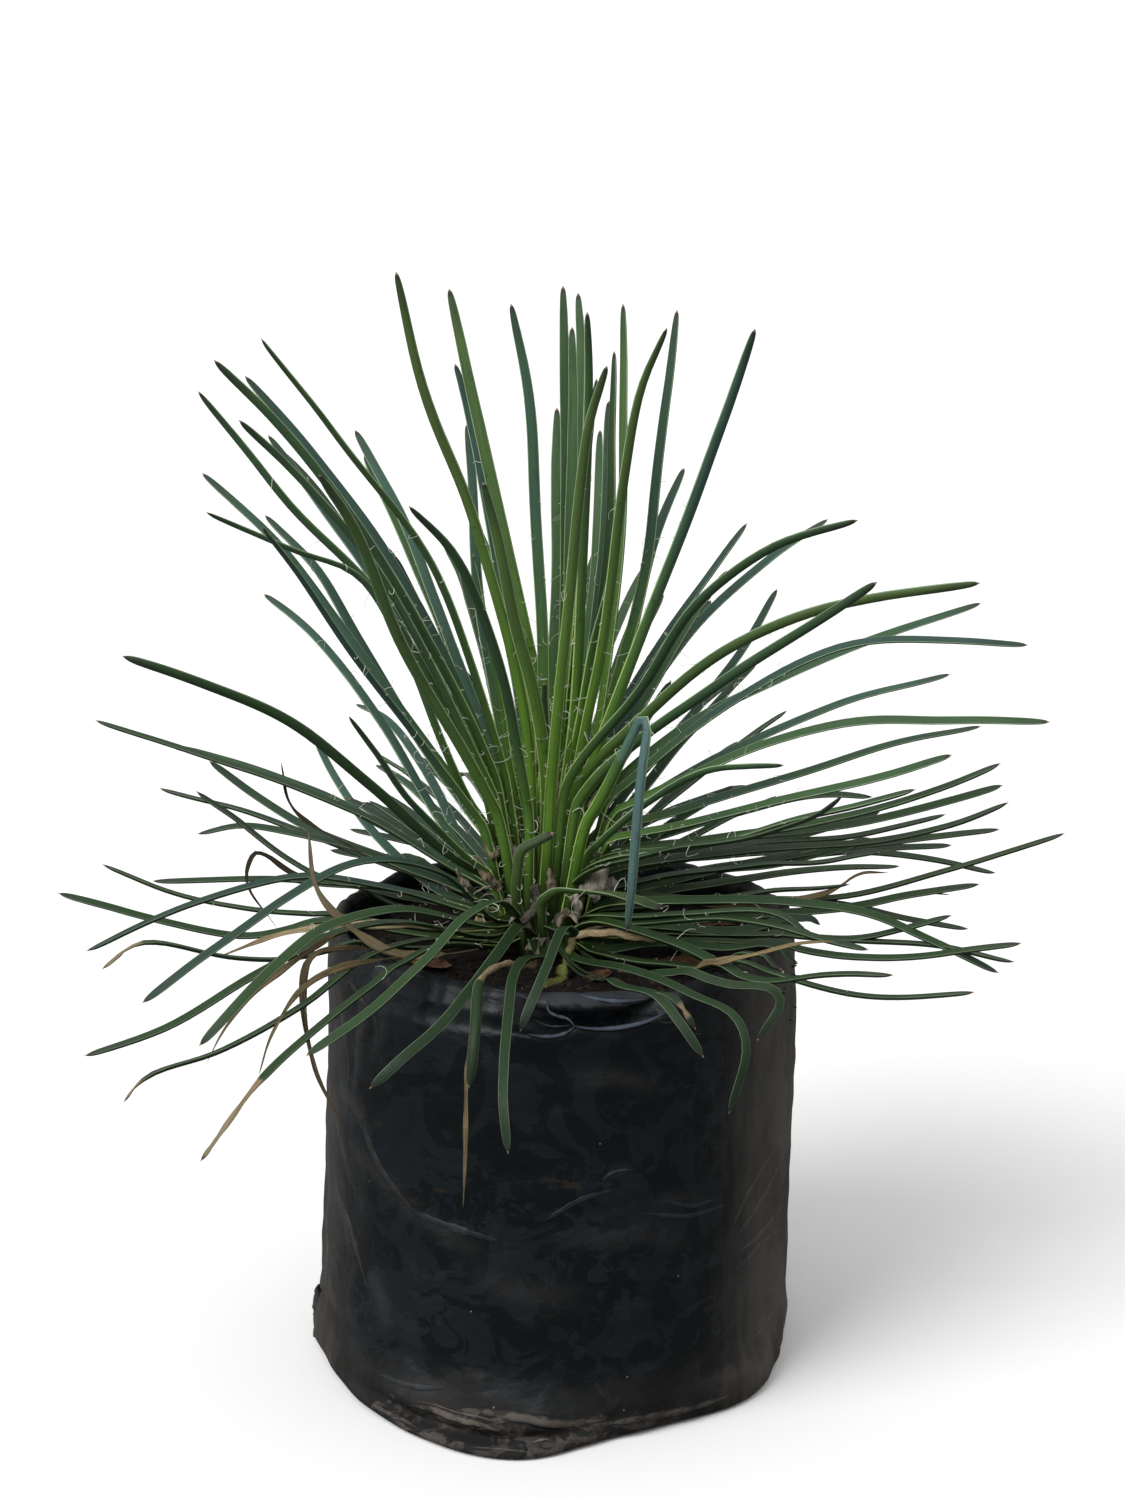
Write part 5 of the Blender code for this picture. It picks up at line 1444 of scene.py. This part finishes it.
# The greens run from dark to pale by each leaf's paleness, which partly paints the shade on the low, outer leaves
olive = tinted(tree, read["pale"], (0.018, 0.034, 0.008), (0.098, 0.165, 0.046))
green = tinted(tree, read["pale"], (0.010, 0.027, 0.009), (0.070, 0.142, 0.052))
glaucous = tinted(tree, read["pale"], (0.010, 0.027, 0.020), (0.054, 0.114, 0.090))
colour = tinted(tree, eased(tree, bloom, -0.8, 0.0), olive, green)
colour = tinted(tree, eased(tree, bloom, 0.1, 0.9), colour, glaucous)
colour = tinted(tree, eased(tree, bloom, 1.05, 1.5), colour, (0.080, 0.150, 0.145))
young = minus(tree, read["youth"], read["along"])
colour = tinted(tree, eased(tree, young, -0.16, 0.40), colour, (0.145, 0.300, 0.034))
# Painted shade: the leaf bases darken towards the crown, where they crowd together
colour = tinted(tree, eased(tree, read["along"], 0.27, 0.07, 0.0, 0.92), colour, (0.020, 0.046, 0.007))
grey_end = eased(tree, read["left"], 30.0, 6.0, 0.0, 0.55)
colour = tinted(tree, grey_end, colour, (0.032, 0.050, 0.035))
colour = tinted(tree, eased(tree, fibres, 0.42, 0.75, 0.0, 0.45), colour, (0.010, 0.024, 0.009))
blotch = eased(tree, cloudy(tree, place, 210.0, 5.0, 0.7), 0.58, 0.70, 0.0, 0.5)
colour = tinted(tree, blotch, colour, (0.030, 0.042, 0.012))
edge = unsigned(tree, read["across"])
# Painted shade: the lower part of the darker, shaded leaves goes nearly black, as between crowded bases
painted_base_shade = times(tree, eased(tree, read["along"], 0.30, 0.06, 0.0, 0.70), eased(tree, read["pale"], 0.62, 0.40))
colour = tinted(tree, painted_base_shade, colour, (0.010, 0.024, 0.005))
# Painted shade: each leaf darkens towards its margins, most near its base, where its neighbours press on it
painted_flank_shade = times(tree, eased(tree, edge, 0.40, 0.90), eased(tree, read["along"], 0.50, 0.10, 0.12, 0.40))
colour = tinted(tree, painted_flank_shade, colour, (0.008, 0.020, 0.005))
broken = cloudy(tree, lengthways, 4.0, 3.0)
edge_line = times(tree, eased(tree, edge, 0.83, 0.885), eased(tree, read["rise"], -0.17, -0.09))
edge_line = times(tree, edge_line, eased(tree, broken, 0.30, 0.55, 0.40, 0.95))
horny = tinted(tree, eased(tree, read["pale"], 0.10, 0.80), (0.115, 0.160, 0.095), (0.330, 0.450, 0.270))
horny = tinted(tree, eased(tree, young, -0.2, 0.3), horny, (0.520, 0.700, 0.220))
colour = tinted(tree, edge_line, colour, horny)
shrivelled = tinted(tree, eased(tree, broken, 0.35, 0.65), (0.080, 0.055, 0.030), (0.330, 0.260, 0.150))
colour = tinted(tree, eased(tree, read["dead"], 0.3, 0.7), colour, shrivelled)
colour = tinted(tree, eased(tree, read["left"], 4.4, 2.2, 0.0, 0.8), colour, (0.042, 0.034, 0.026))
colour = tinted(tree, eased(tree, read["left"], 1.5, 0.9), colour, (0.26, 0.21, 0.16))
surfaced(tree, shader, colour, eased(tree, patches, 0.3, 0.7, 0.40, 0.54), 0.20)
bumpy(tree, shader, fibres, 0.0005, 0.6)

# How pale the leaves of each group are, partly painted light: the lit upper groups paler, the shaded low and front
# ones darker; and how far they turn their face to the front
LEAF_PALENESS_AND_LIGHT = {"heart": 0.98, "spear": 0.86, "left_fan": 0.92, "right_fan": 0.66, "hidden": 0.42,
                 "left_skirt": 0.26, "right_skirt": 0.22, "front": 0.07, "filling": 0.30}
LEAF_FACED = {"heart": 0.42, "left_fan": 0.30, "right_fan": 0.24, "front": 0.35, "left_skirt": 0.10,
              "right_skirt": 0.12, "filling": 0.30}

# The groups that make up each piece, and the few leaves that clasp the crown at a given compass angle
GREEN_LAYERS = {"inner": ("heart", "spear", "left_fan", "right_fan"),
                "outer": ("left_skirt", "right_skirt", "front", "hidden", "filling")}
CLASPED_AT = {("front", 8): -52, ("front", 9): -88, ("front", 10): -118}

leaf_section = section_curve("leaf section", LEAF_SECTION)
every_leaf = list(all_leaves())
drawn_out = {group[0]: group[-1] for group in LEAF_GROUPS} | {"hidden": 0.5, "spear": 1.0, "filling": 0.5}
near = [(line[5, 0], name, k) for name, k, line, *_ in every_leaf
        if name in ("heart", "left_fan", "right_fan") and line[-1, 1] < 0.035]
turns = np.linspace(*CLASP_SPREAD, len(near))
clasps = {(name, k): turn for (_, name, k), turn in zip(sorted(near), turns)}
clasps |= {leaf: math.radians(compass) for leaf, compass in CLASPED_AT.items()}
green_pieces = []
for layer, groups in GREEN_LAYERS.items():
    lines = []
    for name, k, line, heading, full, roll, youth, bloom in every_leaf:
        if name not in groups:
            continue
        tone = (k * 0.618 + len(name) * 0.27) % 1.0
        pale = 0.5 if (name, k) in OLIVE_LEAVES else LEAF_PALENESS_AND_LIGHT[name] * (0.62 + 0.76 * tone)
        turn = clasps.get((name, k), heading)
        course = clasped(line, turn) if (name, k) in clasps else sunk(line)
        turned = noted(TURNED_LEAVES, name, k, LEAF_FACED.get(name, 0.0) * (0.45 + 1.1 * tone))
        tapered = drawn_out[name]
        if (name, k) == FOLDED_LEAF:
            pale, youth, turned, tapered = 0.6, 0.5, 0.8, 0.8
        points, side, half, shares = strip(
            course, (turn, heading), full, roll, tone, LEAF_STATIONS, tapered, turned)
        if (name, k) in CUT_LEAVES:
            half = np.maximum(half, full * 0.42 * (1.0 - shares ** 60))
        first, last = noted(DEAD_STRETCHES, name, k, (2.0, 3.0))
        dead = np.clip((shares - first) / 0.03, 0, 1) * np.clip((last - shares) / 0.03, 0, 1)
        half *= 1.0 - dead * (0.42 + 0.16 * np.sin(shares * 70.0 + k) + 0.08 * np.sin(shares * 190.0))
        stalk = np.clip((noted(STALKED_LEAVES, name, k, -1.0) - shares) / 0.05, 0.0, 1.0)
        half *= 1.0 - 0.75 * stalk
        length = np.linalg.norm(np.diff(points, axis=0), axis=1).sum()
        if (name, k) == FOLDED_LEAF:
            bloom = bloom * np.clip((shares - FOLDED_FROM) / 0.04, 0.0, 1.0)
        lines.append({
            "course": points, "side": side, "half": half, "along": shares, "tone": tone, "pale": pale,
            "youth": youth, "bloom": bloom, "dead": dead, "left": (1.0 - shares) * length * 1000})
    green_pieces.append(blades(f"{layer}_leaves", lines, leaf_section, leaf_green, "green_leaf", "rosette"))


# Dry leaves
# Old leaves that died on the plant: shrunk to thin, twisted straw that is still fast to the crown.
# Short stubs of others are left about its foot, some still yellow.
DRY_SECTION = (
    (-1.0, 0.10), (-0.5, -0.22), (0.0, -0.34), (0.5, -0.22), (1.0, 0.10), (0.5, 0.02), (0.0, -0.08), (-0.5, 0.02),
)
DRY_STATIONS = 70

straw, tree, shader, place = new_finish("dry_leaf_straw")
read = {label: told(tree, label) for label in ("along", "across", "tone", "grey", "fresh")}
fibres = cloudy(tree, fibrous(tree, read, 4.0, 12.0), 1.5, 6.0, 0.62)
shade = plus(tree, read["tone"], times(tree, minus(tree, fibres, 0.5), 1.9))
colour = tinted(tree, eased(tree, shade, 0.05, 0.60), (0.042, 0.031, 0.016), (0.230, 0.175, 0.084))
colour = tinted(tree, eased(tree, shade, 0.60, 1.15), colour, (0.440, 0.350, 0.210))
purplish = tinted(tree, eased(tree, fibres, 0.35, 0.65), (0.030, 0.022, 0.024), (0.130, 0.105, 0.108))
colour = tinted(tree, read["grey"], colour, purplish)
yellowed = tinted(tree, eased(tree, fibres, 0.40, 0.66), (0.120, 0.150, 0.024), (0.250, 0.270, 0.080))
colour = tinted(tree, read["fresh"], colour, yellowed)
surfaced(tree, shader, colour, 0.74, 0.28)
bumpy(tree, shader, fibres, 0.0007)

# The dry leaves of the table, each in its turn: how light it is, how wide, how curled, and from what share
# of its length it shows at its full width; nearer the crown it is a shrunk stalk
DRY_TONES = (0.38, 1.10, 0.30, 0.40, 0.42, -0.60, 0.92, 0.08, 0.62, 0.40, 0.50)
DRY_WIDTHS = (0.9, 1.3, 0.85, 0.8, 0.85, 0.75, 1.25, 0.95, 0.9, 1.0, 0.9)
DRY_CURLS = (0.35, 0.15, 0.35, 0.6, 0.45, 0.35, 0.3, 0.6, 0.45, 0.5, 0.6)
DRY_FROM = (0.66, 0.30, 0.46, 0.58, 0.52, 0.56, 0.40, 0.60, 0.56, 0.40, 0.40)

# Stubs and loose strips: how far behind the crown they start and end, width (both in millimetres), tone,
# how grey and how fresh they are, and the pixels that they pass
DRY_STUBS = (
    (-22, -28, 4.8, 0.30, 0.9, 0.1, (534, 884), (537, 899), (533, 912), (521, 922)),
    (-32, -46, 4.2, 0.40, 0.0, 0.30, (573, 936), (570, 949), (566, 963), (563, 976)),
    (-44, -60, 6.4, 0.90, 0.0, 0.95, (561, 965), (563, 976), (557, 984), (545, 985)),
    (-30, -42, 4.1, 0.86, 0.0, 0.0, (574, 937), (600, 932), (630, 935), (657, 940)),
)
dry_lines = []
for name, k, line, heading, full, roll, _, _ in every_leaf:
    if name == "dry":
        dry_lines.append((sunk(line), heading, full * DRY_WIDTHS[k], roll, DRY_CURLS[k], DRY_TONES[k], 0.0, 0.0))
for start, end, wide, tone, grey, fresh, *pixels in DRY_STUBS:
    depths = np.linspace(start / 1000, end / 1000, PATH_STEPS)
    course = smooth_course(pixels, PATH_STEPS)
    course = np.array([seen_at(pixel, depth) for pixel, depth in zip(course, depths)])
    dry_lines.append((course, math.radians(-90), wide / 1000, 0.0, 0.10, tone, grey, fresh))
lines = []
for k, (course, heading, full, roll, curled, tone, grey, fresh) in enumerate(dry_lines):
    stub = k >= len(DRY_LEAVES)
    points, side, half, shares = strip(
        course, (heading, heading), full, roll, k * 0.37, DRY_STATIONS, 0.5, 0.85)
    ahead = unit(np.gradient(points, axis=0))
    if stub:
        side = unit(np.cross(ahead, VIEWER - points))
    above = np.cross(ahead, side)
    curl = curled * (1.1 * np.sin(shares * 11.0 + k) + 0.6 * np.sin(shares * 27.0 + 2 * k))
    side = side * np.cos(curl)[:, None] + above * np.sin(curl)[:, None]
    pinch = np.array([noise_at(s * 14.0, k * 3.0, 0.5) for s in shares])
    if stub:
        half = full / 2 * (1.0 + 0.14 * pinch) * np.minimum(1.0, 0.6 + np.minimum(shares, 1.0 - shares) * 9.0)
    else:
        half = half * (0.88 + 0.50 * pinch) * np.minimum(1.0, 0.35 + (1.0 - shares) * 2.2)
        half *= np.clip((shares - DRY_FROM[k]) / 0.05, 0.14, 1.0)
    lines.append({"course": points, "side": side, "half": half, "along": shares, "tone": tone, "grey": grey,
                  "fresh": fresh})
blades("dry_leaves", lines, section_curve("dry section", DRY_SECTION), straw, "dry_leaf", "rosette")


# Threads
# White fibres that split off the horny edges as the leaves grow, and curl back in hooks and loops.
# They are thickest on the lower half of the inner leaves.
THREAD_SEED = 17
THREAD_KINDS = 12
THREAD_SHARES = (0.55, 0.20)
THREAD_POINTS = 9
THREAD_THICKNESS = 0.00015

threads = bpy.data.collections.new("thread shapes")
draw = random.Random(THREAD_SEED)
for k in range(THREAD_KINDS):
    turn = draw.choice((1.4, 2.6, 3.6, 4.6, 5.6, 6.4))
    rise = draw.uniform(-0.35, 0.35)
    wave = draw.uniform(0.0, 0.25)
    spots = []
    for i in range(THREAD_POINTS):
        share = i / (THREAD_POINTS - 1)
        bend = turn * share
        out = math.sin(bend) / turn
        back = (1.0 - math.cos(bend)) / turn
        spots.append((back + wave * math.sin(6 * share) * 0.3, rise * share ** 2, out))
    mesh = bpy.data.meshes.new("thread")
    mesh.from_pydata(spots, [(i, i + 1) for i in range(THREAD_POINTS - 1)], [])
    mesh.attributes.new("taper", "FLOAT", "POINT").data.foreach_set(
        "value", [1.0 - 0.6 * i / (THREAD_POINTS - 1) for i in range(THREAD_POINTS)])
    threads.objects.link(bpy.data.objects.new(f"thread_{k:02d}", mesh))

fray, given, result = new_tree(
    "threads along leaf edges",
    ("Threads", "NodeSocketCollection", None),
    ("Share", "NodeSocketFloat", 0.26),
    ("Shortest", "NodeSocketFloat", 0.0020),
    ("Longest", "NodeSocketFloat", 0.0160),
    ("Thickness", "NodeSocketFloat", THREAD_THICKNESS),
    ("Seed", "NodeSocketInt", THREAD_SEED),
    ("Finish", "NodeSocketMaterial", None),
)
read = {label: told(fray, label) for label in ("across", "along", "youth", "pale")}
at_edge = is_over(fray, unsigned(fray, read["across"]), 0.99)
lower = times(fray, eased(fray, read["along"], 0.04, 0.10), eased(fray, read["along"], 0.88, 0.34))
richer = plus(fray, 0.45, read["youth"])
odds = times(fray, lower, richer, given["Share"])
picked = is_under(fray, drawn(fray, "FLOAT", 0.0, 1.0, given["Seed"]), odds)
chosen = times(fray, at_edge, picked, is_over(fray, read["pale"], 0.10))
sideways = {0: told(fray, "side", "FLOAT_VECTOR"), "Scale": reckoned("SIGN", fray, read["across"])}
outward = add(fray, "ShaderNodeVectorMath", sideways, operation="SCALE").outputs[0]
aim = add(fray, "FunctionNodeAlignRotationToVector", {"Vector": outward}, axis="Z").outputs[0]
swing = drawn(fray, "FLOAT_VECTOR", (-0.8, -0.8, 0.0), (0.8, 0.8, 6.283), 21)
aim = add(fray, "FunctionNodeRotateRotation", {0: aim, 1: swing}, rotation_space="LOCAL").outputs[0]
skew = reckoned("POWER", fray, drawn(fray, "FLOAT", 0.0, 1.0, 23), 2.2)
size = add(fray, "ShaderNodeMapRange", {
    "Value": skew, "To Min": given["Shortest"], "To Max": given["Longest"]}).outputs[0]
set_out = add(fray, "GeometryNodeInstanceOnPoints", {
    "Points": given["Geometry"], "Selection": chosen,
    "Instance": add(fray, "GeometryNodeCollectionInfo", {0: given["Threads"], 1: True, 2: True}).outputs[0],
    "Pick Instance": True, "Instance Index": drawn(fray, "INT", 0, THREAD_KINDS - 1, 25),
    "Rotation": aim, "Scale": size})
loose = add(fray, "GeometryNodeRealizeInstances", {0: set_out.outputs[0]}).outputs[0]
place = add(fray, "GeometryNodeInputPosition").outputs[0]
drift = add(fray, "ShaderNodeTexNoise", {"Vector": place, "Scale": 160.0, "Detail": 1.0}).outputs["Color"]
drift = add(fray, "ShaderNodeVectorMath", {0: drift, 1: (0.5, 0.5, 0.5)}, operation="SUBTRACT").outputs[0]
taper = told(fray, "taper")
free = times(fray, minus(fray, 1.0, taper), 0.0065)
drift = add(fray, "ShaderNodeVectorMath", {0: drift, "Scale": free}, operation="SCALE").outputs[0]
loose = add(fray, "GeometryNodeSetPosition", {"Geometry": loose, "Offset": drift}).outputs[0]
line = add(fray, "GeometryNodeMeshToCurve", {0: loose}).outputs[0]
ring = add(fray, "GeometryNodeCurvePrimitiveCircle", {"Resolution": 3, "Radius": 1.0}).outputs[0]
cords = add(fray, "GeometryNodeCurveToMesh", {
    "Curve": line, "Profile Curve": ring, "Scale": times(fray, taper, given["Thickness"]),
    "Fill Caps": True}).outputs[0]
delivered(fray, add(fray, "GeometryNodeSetShadeSmooth", {0: cords}).outputs[0], given["Finish"], result)

thread_white, tree, shader, place = new_finish("leaf_thread")
colour = tinted(tree, cloudy(tree, place, 60.0, 2.0), (0.62, 0.66, 0.54), (0.88, 0.88, 0.82))
surfaced(tree, shader, colour, 0.6)
for layer, leaves, share in zip(GREEN_LAYERS, green_pieces, THREAD_SHARES):
    fray_piece = grown(f"{layer}_threads", leaves.data.copy(), fray,
                       Threads=threads, Share=share, Finish=thread_white)
    finished(fray_piece, None, "dry_leaf")

# The long curls seen before the crown, by their pixels; each starts on the leaf that is seen behind its first
LONG_CURLS = (
    ((461, 813), (459, 801), (452, 790), (444, 787), (446, 796), (455, 803)),
    ((443, 814), (438, 812), (435, 818), (439, 825), (443, 820)),
    ((484, 858), (494, 859), (502, 862), (506, 869), (513, 875), (520, 872)),
    ((612, 851), (620, 849), (625, 853), (624, 860), (618, 866)),
    ((474, 893), (478, 903), (486, 908), (493, 905), (491, 901)),
    ((664, 858), (671, 855), (674, 859), (668, 864)),
    ((566, 895), (571, 899), (573, 906)),
    ((508, 800), (504, 806), (507, 813), (511, 822)),
    ((572, 812), (580, 808), (584, 813), (582, 822)),
    ((531, 786), (527, 793), (531, 800), (536, 797)),
)
CURL_POINTS = 26
CURL_TAPER = (0.00026, 0.00014)
CURL_SECTION = ((1.0, 0.0), (-0.5, 0.87), (-0.5, -0.87))

surfaces = [surface_of(leaves) for leaves in green_pieces]
lines = []
for pixels in LONG_CURLS:
    hits = [struck(surface, pixels[0])[0] for surface in surfaces]
    nearest = min((hit.y for hit in hits if hit is not None), default=-0.02)
    course = np.array([seen_at(pixel, nearest - 0.0012) for pixel in smooth_course(pixels, CURL_POINTS)])
    side = unit(np.cross(np.gradient(course, axis=0), VIEWER - course))
    lines.append({"course": course, "side": side, "half": np.linspace(*CURL_TAPER, CURL_POINTS)})
blades("long_curls", lines, section_curve("thread section", CURL_SECTION), thread_white, "dry_leaf")


# Papery scales
# Dry brown remains of old leaf bases, thin as paper, that stick up between the living bases.
SCALES = 20
SCALE_SEED = 29
SCALE_ROWS = 9
SCALE_OFFS = (-1.0, -0.5, 0.0, 0.5, 1.0)
SCALE_THICKNESS = 0.0003

# Scales seen between the leaf bases: how far behind the crown, half width (in millimetres), how grey,
# and the pixels of the foot, the middle and the point
SEEN_SCALES = (
    (-15, 3.2, 0.15, (497, 858), (490, 845), (487, 829)),
    (-16, 3.6, 0.95, (513, 866), (511, 853), (505, 841)),
    (-17, 2.2, 0.10, (488, 880), (481, 868), (477, 856)),
    (-19, 2.4, 0.00, (500, 890), (494, 882), (488, 873)),
    (-20, 2.3, 0.15, (552, 891), (551, 880), (549, 868)),
    (-21, 5.6, 0.80, (588, 895), (596, 882), (603, 866)),
    (-18, 3.8, 0.70, (606, 894), (609, 886), (616, 880)),
    (-21, 2.0, 0.85, (573, 895), (578, 906), (576, 920)),
    (-23, 2.0, 0.10, (569, 910), (561, 918), (557, 928)),
    (-21, 1.6, 0.00, (475, 919), (488, 924), (503, 930)),
    (-12, 1.8, 0.00, (590, 809), (596, 797), (601, 787)),
    (-8, 3.0, 0.40, (508, 848), (507, 833), (505, 818)),
    (-15, 1.6, 0.10, (592, 857), (596, 846), (598, 836)),
    (-12, 1.5, 0.20, (563, 830), (562, 822), (557, 816)),
    (-20, 1.8, 0.30, (470, 888), (462, 880), (456, 868)),
    (-22, 2.2, 0.60, (516, 908), (509, 903), (500, 905)),
)
papery, tree, shader, place = new_finish("papery_scale")
grain = cloudy(tree, stretched(tree, place, (1.0, 1.0, 0.3)), 420.0, 6.0, 0.62)
colour = tinted(tree, eased(tree, grain, 0.36, 0.64), (0.040, 0.030, 0.018), (0.260, 0.200, 0.115))
greyed = tinted(tree, eased(tree, grain, 0.36, 0.64), (0.105, 0.095, 0.076), (0.420, 0.385, 0.315))
colour = tinted(tree, told(tree, "grey"), colour, greyed)
surfaced(tree, shader, colour, 0.8)
bumpy(tree, shader, grain, 0.0006)


def scale_sheet(form, greyness, rows, grey, facing):
    """A scale's sheet over rows of places, with its outer face towards the front or towards the back."""
    rows = [[form.verts.new(spot) for spot in row] for row in rows]
    for near, far in zip(rows[:-1], rows[1:]):
        for j in range(len(near) - 1):
            corners = (near[j], near[j + 1], far[j + 1], far[j])
            form.faces.new(corners if facing else (corners[0], *corners[:0:-1]))
    for vert in sum(rows, []):
        vert[greyness] = grey


draw = random.Random(SCALE_SEED)
form = bmesh.new()
greyness = form.verts.layers.float.new("grey")
for k, (behind, wide, grey, *pixels) in enumerate(SEEN_SCALES):
    middle = np.array([seen_at(pixel, behind / 1000) for pixel in smooth_course(pixels, SCALE_ROWS)])
    sight = np.array([middle[SCALE_ROWS // 2] - VIEWER] * SCALE_ROWS)
    beside = unit(np.cross(sight, np.gradient(middle, axis=0)))
    towards = -unit(sight)
    rows = []
    for i in range(SCALE_ROWS):
        torn = 1.0 + 0.5 * noise_at(i * 0.9, k * 5.0, 0.3)
        spread = wide / 1000 * torn * (1.0 - (i / (SCALE_ROWS - 1)) ** 2.4 * (0.35 if grey > 0.5 else 0.85))
        cups = [0.0012 * (1.0 - off * off) + 0.0018 * noise_at(i * 0.5, off * 1.5, k * 3.0) for off in SCALE_OFFS]
        rows.append([middle[i] + beside[i] * (off * spread) + towards[i] * cup for off, cup in zip(SCALE_OFFS, cups)])
    scale_sheet(form, greyness, rows, grey, True)
for k in range(SCALES):
    heading = k * GOLDEN_TURN + draw.uniform(-0.2, 0.2)
    high = k / SCALES
    outward = Vector((math.cos(heading), math.sin(heading), 0.0))
    sideway = Vector((-outward.y, outward.x, 0.0))
    foot = Vector(CROWN) + outward * (0.0235 - 0.011 * high) + Vector((0.0, 0.0, -0.004 + 0.028 * high))
    tall = draw.uniform(0.009, 0.019)
    wide = draw.uniform(0.004, 0.0065)
    tilt = draw.uniform(0.15, 0.75)
    curl = draw.uniform(-0.5, 0.5)
    rows = []
    for i in range(SCALE_ROWS):
        share = i / (SCALE_ROWS - 1)
        spread = wide * (1.0 - share ** 1.6) * (1.0 + 0.15 * math.sin(k + 5 * share)) + 0.0003
        slope = tilt + 0.8 * share * share
        middle = foot + Vector((0, 0, 1)) * (tall * share * math.cos(slope * share)) + outward * (
            tall * share * math.sin(slope * share) + 0.001)
        rows.append([
            middle + sideway * (off * spread + curl * share * 0.004) + outward * (0.25 * spread * (1.0 - off * off))
            for off in SCALE_OFFS])
    scale_sheet(form, greyness, rows, (k * 0.37) % 1.0, False)
mesh = mesh_of(form, "scales")
mesh.shade_smooth()
finished(thickened(new_piece("papery_scales", mesh), SCALE_THICKNESS, 0.0), papery, "dry_leaf")


# Floor, light and camera
# A pale floor under wide, soft light, seen from where the photograph was taken.
SKY_LOW = 0.22
SKY_HIGH = 1.005
SUN = 2.6
SUN_WIDTH = 0.65
SUN_WAY = (1.26, 1.02, -1.48)

floor = bpy.data.meshes.new("floor")
floor.from_pydata([(-40, -40, 0), (40, -40, 0), (40, 60, 0), (-40, 60, 0)], [], [(0, 1, 2, 3)])
floor_piece = new_piece("floor", floor)
floor_white, tree, shader, place = new_finish("pale_floor")
tint = tinted(tree, cloudy(tree, place, 3.0, 2.0), (0.85, 0.85, 0.85), (0.87, 0.87, 0.87))
surfaced(tree, shader, tint, 0.9, 0.0)
floor.materials.append(floor_white)
floor_piece.visible_diffuse = False
floor_piece.visible_glossy = False

world = bpy.data.worlds.new("sky")
world.use_nodes = True
tree = world.node_tree
upward = axis_of(tree, add(tree, "ShaderNodeTexCoord").outputs["Generated"], "Z")
overcast = add(tree, "ShaderNodeMapRange", {
    "Value": upward, "From Min": -0.15, "From Max": 1.0, "To Min": SKY_LOW, "To Max": SKY_HIGH}).outputs["Result"]
plain = add(tree, "ShaderNodeLightPath").outputs["Is Camera Ray"]
strength = larger(tree, plain, overcast)
tree.links.new(strength, tree.nodes["Background"].inputs["Strength"])
tree.nodes["Background"].inputs["Color"].default_value = (1.0, 1.0, 1.0, 1.0)
scene = bpy.context.scene
scene.world = world
scene.view_settings.view_transform = "Standard"

lamp = bpy.data.lights.new("soft_sun", "SUN")
lamp.angle = SUN_WIDTH
lamp.energy = SUN
lamp_piece = bpy.data.objects.new("soft_sun", lamp)
lamp_piece.rotation_euler = Vector(SUN_WAY).to_track_quat("-Z", "Y").to_euler()
scene.collection.objects.link(lamp_piece)

lens = bpy.data.cameras.new("camera")
lens.lens = 36.0 * PHOTO_FOCAL / 1500.0
lens.sensor_width = 36.0
lens.clip_end = 200.0
camera = bpy.data.objects.new("camera", lens)
camera.location = VIEWER.tolist()
camera.rotation_euler = (math.pi / 2 + VIEW_PITCH, 0.0, 0.0)
scene.collection.objects.link(camera)
scene.camera = camera
